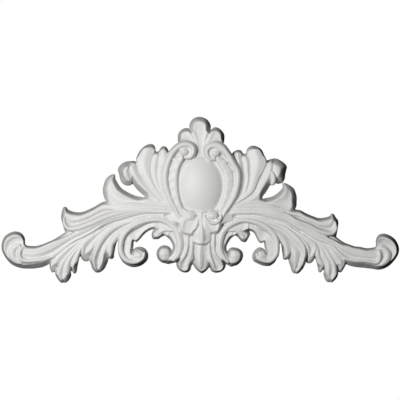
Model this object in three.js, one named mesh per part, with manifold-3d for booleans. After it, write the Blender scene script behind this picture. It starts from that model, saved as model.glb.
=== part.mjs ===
// White cast onlay: a symmetrical spray of acanthus scrolls round an oval cabochon.
// It is one solid casting with a flat back. Millimetres, +Z up, the front faces -Y, the back is y = 0.
import * as THREE from 'three';
import { mergeVertices } from 'three/addons/utils/BufferGeometryUtils.js';
import Module from 'manifold-3d';

const wasm = await Module();
wasm.setup();

// Driving dimensions
const overallWidth = 460; // from one volute to the other
const cabochonRise = 24.4; // wall to the crown of the cabochon
const carvingDepth = 25.2; // wall to the top of the cap leaf's curl, which the other crests follow
const lipHeight = 1.5; // upright edge at the wall, below the bevels
const edgeRise = 4.2; // steepness of the bevel round a leaf, rise for one of run
const rootRise = 2; // the same at a leaf's root, where it lies beside its neighbours
const grooveFade = 0.35; // share of a leaf's width over which its hollow closes at the tip

// Fineness of the faceted solid
const stepsPerCut = 2;
const stepsAtTip = 4;
const facetsAcrossLeaf = [0, 0.5, 1];
const facetsAcrossRib = [0, 0.3, 0.7, 1];
const tipFlat = 0.2;

// The carving is drawn as one half on a plan: X is the distance from the centre line to the left,
// Z is up from the middle of the cabochon, and heights are measured out from the wall.
const planDepth = 25.2;
const carvings = [];
const leaf = (spec) => carvings.push({
  slopes: [[rootRise, edgeRise], [rootRise, edgeRise]], free: [0.95, 0.95], drop: 4, spread: 0.4, point: 0.5,
  ...spec,
});
const rib = (spec) => carvings.push({ ...spec });

// Sections across a carving: place across it, and height from its crest as a share of its width
const sections = {
  dome: [[0, -0.4], [0.22, -0.13], [0.5, 0], [0.78, -0.13], [1, -0.4]],
  cushion: [[0, -0.1], [0.5, 0], [1, -0.1]],
  hollow: [[0, -0.04], [0.14, 0], [0.5, -0.2], [0.86, 0], [1, -0.04]],
  rimBelow: [[0, -0.08], [0.36, -0.06], [0.51, -0.21], [0.57, -0.21], [0.72, 0], [1, -0.06]],
  rimAbove: [[0, -0.04], [0.1, 0], [0.34, -0.26], [0.62, -0.17], [1, -0.1]],
  trough: [[0, -0.04], [0.05, 0], [0.36, -0.03], [0.55, -0.15], [0.63, -0.15], [0.74, -0.03], [1, -0.08]],
  ridge: [[0, -0.25], [0.25, -0.17], [0.5, 0], [0.75, -0.17], [1, -0.25]],
  swept: [[0, -0.02], [0.1, 0], [0.55, -0.14], [1, -0.08]],
  roll: [[0, -0.18], [0.2, -0.05], [0.5, 0], [0.8, -0.06], [1, -0.17]],
  slantedBand: [[0, -0.34], [0.26, -0.03], [0.38, 0], [0.75, -0.08], [1, -0.24]],
  rail: [[0, -0.56], [0.3, -0.08], [0.5, 0], [0.68, -0.08], [1, -0.56]],
  boss: [[0, -0.22], [0.2, -0.07], [0.5, 0], [0.8, -0.07], [1, -0.22]],
  flat: [[0, 0], [1, 0]],
  dish: [[0, -0.05], [0.13, 0], [0.32, -0.07], [0.68, -0.07], [0.87, 0], [1, -0.05]],
  shingle: [[0, -0.14], [0.14, 0], [0.46, -0.03], [0.88, -0.52], [1, -0.52]],
  curl: [[0, -0.32], [0.3, -0.24], [0.62, 0], [1, -0.05]],
};

// A leaf's cut is [first edge X, Z, second edge X, Z, crest height]. Past its free share it stands
// alone and its bevel runs down to the wall, before it the bevel stops drop below the crest, in a
// groove beside its neighbour. Each edge's bevel has two slopes, one at the root and one further on.
// A rib's point is [X, Z, width, crest height].

// Stem and volute
leaf({
  name: 'stem', section: 'trough', slopes: [[6, 6], [1.7, 1.7]], free: [0.72, 0.82], drop: 7,
  cuts: [
    [20, -34, 24, -44, 17], [34, -30.5, 37, -37, 17], [52, -29.5, 54, -35, 17],
    [70, -30, 72, -36.5, 17], [90, -32.5, 91, -41.5, 17], [110, -38, 110.5, -47.5, 17],
    [130, -46.5, 130, -59.5, 16.5], [150, -55.5, 152, -71.5, 15], [170, -63, 177, -92, 15],
    [190, -70.5, 192, -96.8, 15], [206, -70, 206, -97, 14.5],
  ],
});
leaf({
  name: 'volute', section: 'curl', slopes: [[4.2, 4.2], [1.9, 3.2]], free: [2, 0], drop: 3, spread: 0,
  cuts: [
    [192, -84, 192, -96.8, 12.6], [205, -87, 209, -96.6, 13], [214.5, -86.5, 222.5, -90, 13.6],
    [220.5, -77.5, 231.5, -75, 14.2], [217.5, -69.5, 229, -61, 15], [211, -66.3, 219, -54.3, 15.4],
    [207.5, -67, 209.8, -55.2, 15.2], [206.5, -69, 204.9, -61, 14.5], [206.5, -71, 204.4, -67, 14],
    [207, -73, 204.4, -71, 13],
  ],
});
rib({
  name: 'stem_rim', section: 'dome',
  line: [
    [168, -82.5, 2, 13], [176, -84.3, 3.5, 14.4], [185, -86.2, 4.3, 15.2], [194, -87.5, 4.8, 15.6],
    [202, -87.9, 5, 16], [208, -86, 5.5, 17], [210.3, -81, 5.5, 17.5], [209.3, -76, 5, 17.2],
    [206, -72.3, 3, 15.5],
  ],
});
rib({
  name: 'volute_lobe', section: 'dome',
  line: [
    [206.5, -90.6, 3, 13.6], [212.3, -88.8, 6, 15.4], [217.5, -84, 9, 16.4], [218.8, -77.5, 9, 16.4],
    [215.3, -72, 7.5, 15.8], [208.5, -69.3, 5, 15],
  ],
});

// Leaves and veins along the top of the stem
leaf({
  name: 'outer_leaf', section: 'rimBelow', slopes: [[4.2, 3.2], [1.8, 1.8]], free: [0.56, 0.8],
  point: 0.8, tip: [160.3, -26.3, 13],
  cuts: [
    [24, -28, 26, -35, 17], [40, -25, 42, -31.5, 17], [58, -24.5, 62, -31, 16.5],
    [75, -23, 80, -33, 16], [95, -22.5, 98, -37, 15.5], [112, -19.5, 114, -42, 15.2],
    [125, -26, 128, -48.5, 15.2], [138, -31.3, 142, -54.5, 15.5], [148, -31, 156, -56.5, 15.5],
    [155, -28.3, 162.3, -40, 14.8],
  ],
});
leaf({
  name: 'upper_leaf', section: 'swept', slopes: [[2.6, 2.6], [1.55, 1.55]], free: [0.45, 0.78],
  tip: [103.5, 12.4, 8],
  cuts: [
    [24, -24, 26, -33, 17], [40, -19.5, 42, -29, 17], [50, -17.5, 53, -27, 17],
    [64, -15, 67, -26, 16.5], [76, -12.8, 84, -25, 16], [86, -8, 101, -23.5, 15.5],
    [92.5, -3.5, 111, -17.5, 15], [96.5, 2, 114.2, -6, 14], [99.8, 8, 112, 4, 12],
  ],
});
rib({
  name: 'vein1', section: 'dome',
  line: [
    [26, -27, 3, 15.3], [38, -24.5, 4, 17.4], [48, -24, 4, 17.6], [65, -23.2, 4.5, 17.2],
    [80, -22.7, 4, 16.6], [92, -22.5, 1, 15],
  ],
});
rib({
  name: 'vein2', section: 'dome',
  line: [
    [26, -30.5, 3, 15.3], [38, -27.8, 3.5, 17.4], [50, -27.3, 3.5, 17.6], [65, -26.8, 4, 17.4],
    [82, -26.8, 4.5, 16.8], [98, -28, 1, 15],
  ],
});
rib({
  name: 'vein3', section: 'dome',
  line: [
    [26, -35, 3, 15.3], [38, -31.5, 3.5, 17.6], [50, -31, 4, 17.8], [68, -30, 4.5, 17.6],
    [88, -31, 5.5, 18], [108, -36.3, 6.5, 18.6], [126, -44, 7, 18.6], [143, -50, 6.5, 17.8],
    [153, -50.5, 4.5, 16.4], [158, -45, 3.5, 15.5], [158.3, -36, 2, 14.6],
  ],
});

// Fan of leaves above the spray
leaf({
  name: 'curl_leaf', section: 'dome', slopes: [[2, 4.2], [2.4, 2.4]], free: [0.8, 0.42], drop: 3,
  spread: 0.8, tip: [87, 25, 15],
  cuts: [
    [30, -23, 34, -29, 17], [44, -18, 50, -22, 17], [53, -9, 60, -16, 16.5], [60, 0, 68.5, -9.5, 16.2],
    [66.5, 9, 76, -2.5, 16], [71, 17.5, 81, 5, 16], [74, 26.4, 86, 14, 16],
  ],
});
leaf({
  name: 'curl_head', section: 'roll', slopes: [[2.2, 2.2], [4.2, 4.2]], free: [0, 0], spread: 0,
  start: [84, 27.8, 13.5], tip: [85.5, -0.8, 13],
  cuts: [
    [96.8, 17.5, 74.5, 19, 15.6], [94.3, 8.5, 77.5, 7, 15.4],
  ],
});
rib({
  name: 'curl_fold', section: 'dome',
  line: [
    [84, 21.5, 3, 16.8], [87.3, 16.5, 7, 17.9], [86, 10.5, 7.5, 17.6], [82.5, 4.5, 4.5, 15.6],
  ],
});
leaf({
  name: 'broad_leaf', section: 'cushion', slopes: [[2, 4.2], [2, 2.2]], free: [0.85, 0.97],
  tip: [60, 47.6, 14],
  cuts: [
    [34, -25, 28, -28, 17.5], [47, -15.5, 40.5, -17, 17.3], [58, -4, 50, -5, 16.7],
    [66, 8, 56, 7.5, 16], [71.5, 17, 58, 17, 15.7], [75, 29, 57, 29, 15.2], [74, 34, 53.5, 37.5, 14.8],
  ],
});
leaf({
  name: 'narrow_leaf1', section: 'dome', slopes: [[2, 4.2], [2, 2.6]], free: [0.97, 0.97], spread: 0.8,
  point: 0.8, tip: [49, 39.5, 13],
  cuts: [
    [30, -27, 26, -30, 16.8], [45, -14, 40.5, -15, 16.2], [53, -1, 47, -2, 15.8],
    [57.5, 10, 49.5, 10, 15.4], [59, 22, 49.2, 22, 15], [57.5, 31, 47, 31, 14.5],
  ],
});
leaf({
  name: 'narrow_leaf2', section: 'dome', slopes: [[2, 2.8], [2, 4.2]], free: [0.97, 0.92], spread: 0.8,
  tip: [43.3, 45.3, 13],
  cuts: [
    [28, -28, 24, -31, 16.3], [42.5, -15, 37, -16, 15.8], [49, 0, 42, -1, 15.4],
    [51, 12, 42.5, 12, 15], [50, 24, 39.8, 25, 14.8], [49, 36, 37.3, 36, 14.2],
  ],
});

// Leaves and tips under the stem
leaf({
  name: 'mid1', section: 'hollow', slopes: [[2, 4.2], [2, 1.8]], free: [0.93, 0.9],
  tip: [135.5, -88.5, 12],
  cuts: [
    [42, -34, 43, -37, 16.3], [56, -34, 57, -37.3, 16.2], [70, -35.3, 71, -39, 16],
    [85, -39.5, 86, -43, 14.2], [100, -44.2, 100.5, -48.5, 14], [114.5, -51.3, 111.5, -56.5, 14.2],
    [127, -59, 120, -66, 14.5], [137.5, -67, 126, -79, 14.5], [139.7, -79, 128, -83.5, 13.5],
  ],
});
leaf({
  name: 'mid2a', section: 'shingle', slopes: [[2, 3], [2, 4.2]], free: [0.78, 0.9], drop: 6,
  tip: [121.3, -101.8, 11],
  cuts: [
    [50, -36, 50, -40, 16], [64, -37, 64, -41.5, 16], [78, -39.5, 78, -45, 15.6],
    [92, -42.8, 90, -49.5, 15.5], [106, -49, 100.5, -57.5, 15.6], [117, -58.8, 107.5, -66, 15.6],
    [124.5, -72, 114, -76.5, 15.5], [129.5, -85, 117.5, -87, 14.5], [127.5, -93.5, 118, -96, 13],
  ],
});
leaf({
  name: 'mid2b', section: 'dome', slopes: [[2, 4.2], [2, 1.9]], free: [0.9, 0.78],
  tip: [118.5, -101.6, 11],
  cuts: [
    [64, -40, 64, -43, 14.5], [78, -43.5, 77, -46.5, 14.3], [90, -48.5, 88, -52.5, 13.4],
    [102, -56.5, 97.5, -60.5, 13], [111, -66.5, 105, -70, 12.8], [116.5, -77, 108.7, -78.5, 12.8],
    [118.8, -87, 107.8, -87, 12.6], [119.5, -94.5, 110.5, -94.5, 12],
  ],
});
leaf({
  name: 'mid3', section: 'dome', free: [0.85, 0.72], tip: [104, -86, 11.5],
  cuts: [
    [66, -42, 64, -46, 15], [76, -45.5, 74, -50, 16], [88, -49.5, 86, -55, 15.5],
    [100, -57, 95, -61.5, 15], [107.5, -66, 98.5, -68, 14.5], [110.5, -76, 100, -76, 13.5],
    [109, -81.5, 101, -81.5, 13],
  ],
});
leaf({
  name: 'tip1', section: 'dome', slopes: [[2, 4.2], [2, 2]], free: [0.9, 0.86], point: 0.7,
  tip: [173, -101.5, 11],
  cuts: [
    [118, -49.5, 117, -53, 12.6], [132, -58, 131, -61.5, 12.6], [145, -65, 144, -70, 13],
    [158, -72, 153, -79, 14], [170, -81, 160, -88.5, 13.5], [175.5, -91, 166, -96, 12.5],
  ],
});
leaf({
  name: 'tip2a', section: 'dome', slopes: [[2, 3], [2, 4.2]], free: [0.86, 0.95],
  tip: [161.5, -113.8, 10],
  cuts: [
    [126, -56, 125, -60, 12.8], [140, -65, 138.5, -68.5, 12.8], [150, -74.5, 147.5, -77.5, 13.2],
    [159, -85, 155.5, -87, 13.5], [166, -95.5, 159.5, -96.5, 13], [169.5, -103, 160.5, -104, 12.5],
  ],
});
leaf({
  name: 'tip2b', section: 'dome', slopes: [[2, 4.2], [2, 2.1]], free: [0.95, 0.86],
  tip: [158.5, -113.6, 10],
  cuts: [
    [125, -58, 124, -62, 13], [139, -67.5, 137.5, -70.5, 13], [148, -76, 144.5, -79.5, 13.3],
    [156, -86.5, 150.5, -89, 13.5], [160, -96.5, 151.5, -98, 13], [161, -104, 150.7, -105, 12],
  ],
});
leaf({
  name: 'tip3', section: 'dome', slopes: [[2, 4.2], [2, 2.6]], free: [0.9, 0.78],
  tip: [147, -103, 10.5],
  cuts: [
    [126, -60.5, 124, -64.5, 13.2], [137.5, -68.5, 135.5, -71.5, 14], [144.5, -79, 140.5, -81, 13.5],
    [150, -89, 142.8, -90.5, 12.7], [150, -97, 144, -98, 12],
  ],
});

// Hooked scrolls
leaf({
  name: 'hook1_hollow', section: 'rimAbove', slopes: [[4.2, 4.2], [4.2, 4.2]], free: [0.6, 0.22],
  spread: 0, tip: [84.5, -86, 16],
  cuts: [
    [34, -36, 36, -50, 16], [52, -37, 54, -51, 15.5], [66, -40, 64, -55.5, 15],
    [79, -47, 73.9, -66, 14.5], [88, -56, 77.8, -65, 14.3], [94.5, -68, 78.5, -71.5, 14.5],
    [95, -76, 79.5, -77, 15],
  ],
});
leaf({
  name: 'hook1_curl', section: 'rimAbove', slopes: [[2.6, 2.6], [4.2, 4.2]], free: [0, 0.95],
  spread: 0, tip: [76, -72.5, 14],
  cuts: [
    [96.5, -74, 84, -75, 11], [95.5, -81, 83, -78, 12], [90.5, -90, 80.5, -80, 15.5],
    [81, -95.2, 77, -81, 16], [71, -94.2, 74, -80, 16], [62.8, -88, 71, -78, 16],
    [61.2, -80, 71, -77, 16], [66, -73.6, 72, -76, 15.5],
  ],
});
leaf({
  name: 'hook1_ball', section: 'boss', slopes: [[4.2, 4.2], [2.6, 2.6]], free: [0, 0], spread: 0,
  start: [71.5, -92.5, 14], tip: [71.3, -71.6, 14],
  cuts: [
    [81, -82, 61.3, -81.5, 17.5],
  ],
});
rib({
  name: 'arch', section: 'dome',
  line: [
    [65.3, -77.5, 3, 16], [67.6, -84.5, 4.5, 16.8], [74, -88.6, 5, 17], [82, -88.7, 5.5, 17],
    [89, -84.3, 6.3, 17], [92.8, -76, 6.5, 17.2], [92.3, -65, 6.5, 17.2], [88, -56, 6, 17.3],
    [80, -48.5, 6, 17.6], [70, -43.5, 6, 18], [58, -40.5, 6, 18], [46, -40.5, 6, 18],
    [37, -44.5, 7, 18.2], [29, -52, 8.8, 18.4], [25, -62, 9.4, 18.4], [24.2, -72, 9.2, 18],
    [26.8, -81, 7, 17.3], [33.5, -88, 4, 16],
  ],
});
leaf({
  name: 'hook2_band', section: 'rimAbove', slopes: [[4.2, 2.8], [4.2, 4.2]], free: [0.72, 0.3],
  spread: 0, tip: [48, -86, 15],
  cuts: [
    [56, -37, 54, -49, 16], [46, -37, 46, -54, 16], [34, -41, 40.5, -59.5, 16],
    [24, -50, 37, -62.5, 16], [19.5, -61, 34.4, -66.5, 16], [19, -71, 32.7, -71.5, 16],
    [21, -80.5, 34, -77, 16], [28, -89, 38, -82, 16], [38, -92, 41, -83, 15.5],
  ],
});
leaf({
  name: 'hook2_ball', section: 'boss', slopes: [[4.2, 4.2], [4.2, 4.2]], free: [0, 0], spread: 0,
  start: [42, -90.8, 14], tip: [42.3, -69.9, 14],
  cuts: [
    [51.8, -79.6, 33.3, -79.6, 17.6],
  ],
});
leaf({
  name: 'hook2_leaf', section: 'hollow', free: [0.5, 0.1], spread: 0, tip: [57.3, -59.5, 12.5],
  cuts: [
    [36, -48.5, 37.5, -59.5, 15.3], [44, -48.8, 43, -59, 15.2], [50.5, -50, 49.5, -62.7, 14.9],
    [55, -52.5, 53, -63, 14.4],
  ],
});
rib({
  name: 'hook2_vein', section: 'dome',
  line: [
    [33, -53, 2, 16], [41, -52, 3.5, 16], [47.5, -54.5, 3.5, 15.3], [52, -59, 1.5, 13.8],
  ],
});

// Crown
leaf({
  name: 'crown', section: 'dish', once: true, slopes: [[2.3, 2.3], [2.3, 2.3]], free: [0.66, 0.66],
  drop: 1.5, tip: [1.3, 79.3, 14.6],
  cuts: [
    [4, 30, -4, 30, 13.5], [5, 46, -4.5, 46, 13.5], [8.5, 55, -7, 56, 14], [12.5, 61, -10.5, 62, 14.5],
    [13.6, 68, -11.5, 67, 14.6],
  ],
});
leaf({
  name: 'crown_side', section: 'dish', slopes: [[2.8, 2.8], [2.8, 2.8]], free: [0.62, 0.85], drop: 2.5,
  tip: [19, 66, 13.8],
  cuts: [
    [14, 38, 2, 42, 13], [22, 42, 5, 50, 13.5], [26.2, 50, 9, 57, 14], [26.9, 57.3, 12, 61.2, 14],
  ],
});

// Frame round the cabochon
leaf({
  name: 'frame_ground', section: 'cushion', free: [0.86, 0.8], drop: 1, spread: 0, tip: [19, 50.6, 16],
  cuts: [
    [28, -40, 12, -38, 16], [36.5, -22, 20, -24, 16], [42, -8, 23, -8, 16], [44.6, 9, 23.6, 9, 16],
    [43, 23, 20.5, 23, 16], [37.5, 35, 10, 32, 16],
  ],
});
leaf({
  name: 'frame_apron', section: 'cushion', slopes: [[1.7, 1.7], [1.7, 1.7]], free: [2, 2], drop: 7,
  spread: 0, start: [13, 27, 18], tip: [11, 49.5, 18.5],
  cuts: [
    [22, 33, 4.5, 32.5, 18], [21, 41, 3, 41, 18.5],
  ],
});
rib({
  name: 'frame_rim', section: 'rail',
  line: [
    [24.5, -38.5, 4, 20.5], [28.5, -30, 6.5, 20.8], [34, -20, 8.5, 21.2], [38.3, -9, 9.6, 21.6],
    [41, 2, 10, 21.8], [41.3, 13, 10, 21.8], [39, 24, 9.6, 22], [34.6, 34.5, 9, 22.2],
    [28.6, 42.2, 8.5, 22.3], [21, 46.7, 8.5, 22.4], [14, 46.6, 8.3, 22.4], [9.3, 43, 8, 22.4],
    [9, 37, 7, 22], [13, 32, 5, 21.2], [19.5, 31.5, 3, 20],
  ],
});
rib({
  name: 'bead_band', section: 'slantedBand',
  line: [
    [20, -37, 8, 18.5], [24.6, -27.5, 10.5, 19.8], [28.8, -16, 12, 20.2], [30.8, -4, 12.4, 20.2],
    [31.2, 8, 12.4, 20.3], [29.4, 19, 12, 20.5], [25.8, 27, 10.5, 20.6], [21.5, 33, 8, 21],
  ],
});
leaf({
  name: 'frame_eye', section: 'boss', free: [2, 2], drop: 5, spread: 0, start: [19.4, 32.6, 20],
  tip: [19.4, 43.4, 20],
  cuts: [
    [24.7, 38.2, 14, 37.8, 23],
  ],
});
rib({
  name: 'oval_ledge', section: 'dome', once: true,
  line: [
    [23, -26, 2.5, 18.5], [17, -31, 3, 20.5], [8, -33, 3, 21], [0, -33.4, 3, 21], [-8, -33, 3, 21],
    [-17, -31, 3, 20.5], [-23, -26, 2.5, 18.5],
  ],
});

// Cap leaf over the foot of the frame
leaf({
  name: 'cap_root', section: 'dome', once: true, free: [2, 2], drop: 3, spread: 0,
  cuts: [
    [8, -31, -8, -31, 22], [5, -38, -5, -38, 22.3], [3, -46, -4, -46, 22],
  ],
});
leaf({
  name: 'cap_mid', section: 'ridge', once: true, slopes: [[2.4, 2.4], [2.4, 2.4]], free: [2, 2],
  drop: 6.5, spread: 0, tip: [-1, -70.2, 21.5],
  cuts: [
    [0.5, -43, -2.5, -43, 22.5], [4.5, -50, -6.5, -50, 23.3], [9, -56, -11, -56, 23.8],
    [10, -60, -12.8, -60, 23.6],
  ],
});
leaf({
  name: 'cap_side', section: 'dish', slopes: [[1.6, 1.6], [1.6, 1.6]], free: [2, 2], drop: 5,
  spread: 0, tip: [14.8, -58.6, 22.3],
  cuts: [
    [14, -33, 0, -40, 22.3], [22, -39, 0.8, -45, 23], [25, -45.5, 3.2, -50.5, 23.6],
    [24, -51.5, 7.5, -55, 23.4],
  ],
});
leaf({
  name: 'cap_small', section: 'boss', once: true, slopes: [[1.6, 1.6], [1.6, 1.6]], free: [2, 2],
  drop: 3, spread: 0, start: [-13.2, -29.3, 21], tip: [-13.2, -40.4, 23.8],
  cuts: [
    [-6.6, -34.8, -19.9, -34.8, 25.2],
  ],
});
leaf({
  name: 'cap_fold', section: 'boss', once: true, slopes: [[1.1, 1.1], [1.1, 1.1]], free: [2, 2],
  drop: 2, spread: 0, start: [12.8, -29.3, 20.5], tip: [12.6, -41.3, 22.8],
  cuts: [
    [19.5, -35.5, 6, -35.5, 24],
  ],
});
rib({
  name: 'cap_rim', section: 'dome', once: true,
  line: [
    [-4.2, -34.5, 2, 23.3], [-5.6, -39.4, 2.8, 24.3], [-9.6, -43, 3.2, 24.9], [-14.4, -44.2, 3.4, 25],
    [-19.3, -43, 3.2, 24.7], [-23, -38.5, 2.8, 23.6], [-23, -33, 1.5, 21.5],
  ],
});

// Pendant leaves
leaf({
  name: 'pendant_mid', section: 'cushion', once: true, free: [0.35, 0.35], spread: 0, point: 0.8,
  tip: [-1, -102.8, 12],
  cuts: [
    [5, -58, -6, -58, 14], [8, -74, -9, -74, 15.5], [9.5, -89, -10.8, -90, 15],
  ],
});
leaf({
  name: 'pendant_almond', section: 'dome', once: true, free: [2, 2], drop: 5, spread: 0, point: 0.8,
  tip: [0.3, -98, 14.5],
  cuts: [
    [3.5, -66, -2.5, -66, 16.5], [7.2, -79, -4.7, -79, 18], [6.4, -89, -4.2, -89, 17.6],
  ],
});
leaf({
  name: 'pendant_side', section: 'hollow', free: [0.78, 0.72], spread: 0, tip: [20.5, -101.5, 12],
  cuts: [
    [19, -48, 5, -50, 15.5], [18.3, -60, 7, -62, 15.5], [19, -71, 8, -74, 15.3],
    [23.5, -82, 9, -88, 15.3], [28.8, -91, 11.5, -95.5, 14.5],
  ],
});
rib({
  name: 'pendant_rib1', section: 'dome',
  line: [
    [16.5, -48, 4, 17], [15.5, -60, 4.5, 17.8], [16, -71, 4.5, 17.4], [18.8, -81, 4, 17],
    [24.5, -90, 2, 15.3],
  ],
});
rib({
  name: 'pendant_rib2', section: 'dome',
  line: [
    [10.5, -56, 4, 17.5], [10.5, -72, 4, 17], [12.5, -84, 4, 16.5], [16, -93.5, 2, 15],
  ],
});
leaf({
  name: 'ground8', section: 'flat', free: [0.1, 0.1], spread: 0, tip: [41, -38, 15.5],
  cuts: [
    [16, -30, 16, -52, 20.5], [22, -29, 22, -51, 20.3], [28, -28, 28, -48, 18.6],
    [34, -29, 34, -46, 17],
  ],
});

// Ground that closes the gaps between leaves
leaf({
  name: 'ground1', section: 'flat', free: [0, 0], spread: 0, tip: [195, -85, 6.5],
  cuts: [
    [10, -44, 10, -24, 12.5], [28, -44, 28, -22, 12.5], [46, -42, 48, -16, 12.5],
    [64, -40, 70, -18, 12], [82, -40, 95, -21, 11], [115, -50, 120, -30, 10], [140, -66, 150, -50, 9],
    [160, -82, 185, -72, 7.5],
  ],
});
leaf({
  name: 'ground2', section: 'flat', free: [0, 0], spread: 0, tip: [56, 40, 8.5],
  cuts: [
    [44, -20, 34, -26, 12.5], [60, 0, 44, 0, 11.5], [67, 22, 46, 24, 10.5],
  ],
});
leaf({
  name: 'ground3', section: 'flat', free: [0, 0], spread: 0, tip: [117, -92, 7],
  cuts: [
    [60, -36, 30, -44, 12.5], [95, -42, 84, -54, 10.5], [115, -55, 106, -72, 10],
  ],
});
leaf({
  name: 'ground4', section: 'flat', free: [0, 0], spread: 0, tip: [159, -106, 6.5],
  cuts: [
    [130, -54, 122, -60, 10], [150, -68, 142, -82, 9], [164, -86, 150, -95, 8],
  ],
});
leaf({
  name: 'ground5', section: 'flat', once: true, free: [0, 0], spread: 0, tip: [0, -94, 7.5],
  cuts: [
    [31, -40, -31, -40, 16], [27, -52, -27, -52, 15.5], [25, -62, -25, -62, 14.5],
    [23, -74, -23, -74, 12.5],
  ],
});
leaf({
  name: 'ground6', section: 'flat', once: true, free: [0, 0], spread: 0, tip: [0, 46, 9.5],
  cuts: [
    [30, -50, -30, -50, 14], [32, -30, -32, -30, 16], [38, 0, -38, 0, 16], [36, 24, -36, 24, 15.5],
  ],
});
leaf({
  name: 'ground7', section: 'flat', free: [2, 2], spread: 0, tip: [222, -76, 11.5],
  cuts: [
    [186, -74, 188, -90, 11], [200, -73, 202, -90, 12], [207, -64, 213, -88, 12.5],
  ],
});

// The two halves were carved by hand and differ a little. Each mark is a feature's place on the
// left half and on the right half, and the right half is the left one drawn over by them.
const sharedMarks = [
  [70, -14, 73, -15.5], [37.5, 39, 36, 36.5], [61, -81, 59.7, -82], [67, -72, 67, -72],
  [56, -51.5, 58, -53.5], [55.5, -62.5, 51.5, -66.5], [40, -61.4, 38, -60.5], [33, -70.5, 29.5, -72],
  [43, -70, 38.5, -73], [51.8, -80, 49, -82], [40, -91, 36, -94.5], [27, -88, 28, -91],
  [24.2, -72, 21.6, -72], [25.5, -60, 23, -60], [18, -66, 17.2, -66], [14.3, -58.5, 14, -56],
  [16, -40, 16, -40], [28.5, -97, 28.5, -98], [20, -101, 20, -101], [50, -41.5, 50, -42],
  [42, 8, 43.5, 8], [0, -30, 0, -30], [20, 40, 17, 38], [0, 60, 0, 60], [10, -94.5, 9, -95.5],
  [18.5, 65.6, 18.3, 66.7], [26.6, 58, 27.2, 57.5], [27, 57, 27.3, 57],
];
const fanMarks = [
  [97, 16, 100.3, 19], [85, 27.5, 86, 31.2], [80, 0, 84, 3], [90, 1.5, 94, 3], [75, 26, 77.5, 26.5],
  [75, 32, 73, 34], [59, 47, 61, 45.2], [50, 41, 49.5, 38.5], [43.3, 45.5, 44, 40.5], [57, 20, 56, 20],
  [62, -15, 71, -16],
];
const sprayMarks = [
  [164, -60.2, 164, -67], [188, -69.8, 188, -72.2], [88.5, -92, 83.5, -92], [70, -94, 68.5, -92.5],
  [158, -48, 156.3, -53.5], [152, -55.5, 152, -61], [125, -26.3, 122, -33.3], [65, -16, 73, -18],
  [218, -75, 215.5, -78], [212.5, -80, 208.5, -83], [229, -75, 227.5, -78], [219, -56, 215, -58.5],
  [204.3, -70, 203.5, -72], [192, -96.8, 192, -96.5], [175, -65.5, 175, -70.5], [153.5, -57, 153, -62],
  [160.3, -26.5, 154.5, -34.5], [162.3, -38, 159.5, -44], [144, -31.3, 140, -38],
  [110, -18.5, 109, -28], [102.5, 11.5, 97.5, 1], [114.2, -6, 111.3, -16], [92, -4, 90, -8.5],
  [173.5, -101, 163, -101], [161, -113.3, 151, -112.7], [147, -102, 138.5, -100.5],
  [141, -84, 133, -86], [135.5, -88, 127, -90.5], [121, -101.3, 111.5, -102.5], [104, -85, 97.5, -86],
  [98.5, -76, 93, -79.5], [94, -87, 88.5, -87], [77, -95.5, 76, -94], [79, -66, 74, -67],
  [73.5, -65, 67.5, -66.5], [122, -47, 122, -50], [98, -37.5, 98, -38], [120, -75, 119, -74],
  [150, -69, 150, -70],
];

const markReach = 5;
const markFall = 1.6;
const axisReach = 8;
const fanNames = [
  'curl_leaf', 'curl_head', 'curl_fold', 'broad_leaf', 'narrow_leaf1', 'narrow_leaf2', 'ground2',
];

function toRight(name, x, z) {
  const marks = sharedMarks.concat(fanNames.includes(name) ? fanMarks : sprayMarks);
  let total = 0;
  let dx = 0;
  let dz = 0;
  for (const [fromX, fromZ, toX, toZ] of marks) {
    const weight = 1 / ((x - fromX) ** 2 + (z - fromZ) ** 2 + markReach ** 2) ** markFall;
    total += weight;
    dx += weight * (toX - fromX);
    dz += weight * (toZ - fromZ);
  }
  const share = THREE.MathUtils.clamp(x / axisReach, 0, 1) / total;
  return [x + dx * share, z + dz * share];
}

// Height of a section at the place u across it, as a share of its width
function sectionHeight(section, u) {
  const points = sections[section];
  const next = Math.max(1, points.findIndex(([place]) => place >= u));
  const [u0, h0] = points[next - 1];
  const [u1, h1] = points[next];
  return THREE.MathUtils.lerp(h0, h1, THREE.MathUtils.smoothstep(u, u0, u1));
}

// Stations along a leaf: its two edges and crest, with half ellipses where it has a start or a tip
function leafStations({ cuts, start, tip, point }) {
  const edge = (first) => new THREE.CatmullRomCurve3(
    cuts.map((cut) => new THREE.Vector3(cut[first], cut[4], cut[first + 1])), false, 'catmullrom', 0.5);
  const count = (cuts.length - 1) * stepsPerCut;
  const stations = [];
  if (cuts.length > 1) {
    const [left, right] = [edge(0), edge(2)];
    for (let i = 0; i <= count; i++) stations.push([left.getPoint(i / count), right.getPoint(i / count)]);
  } else {
    const [ax, az, bx, bz, crest] = cuts[0];
    stations.push([new THREE.Vector3(ax, crest, az), new THREE.Vector3(bx, crest, bz)]);
  }
  const cap = ([left, right], [x, z, crest], power) => {
    const middle = left.clone().add(right).multiplyScalar(0.5);
    const half = right.clone().sub(left).multiplyScalar(0.5);
    const width = half.length() * 2;
    return Array.from({ length: stepsAtTip }, (_, i) => {
      const turn = (Math.PI / 2) * ((i + 1) / stepsAtTip);
      const narrow = Math.max(Math.cos(turn) ** (2 * power), tipFlat / width);
      const centre = middle.clone().lerp(new THREE.Vector3(x, crest, z), Math.sin(turn));
      return [centre.clone().addScaledVector(half, -narrow), centre.clone().addScaledVector(half, narrow)];
    });
  };
  const first = start ? cap(stations[0], start, 0.5).reverse() : [];
  const last = tip ? cap(stations[stations.length - 1], tip, point) : [];
  return [...first, ...stations, ...last];
}

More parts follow.
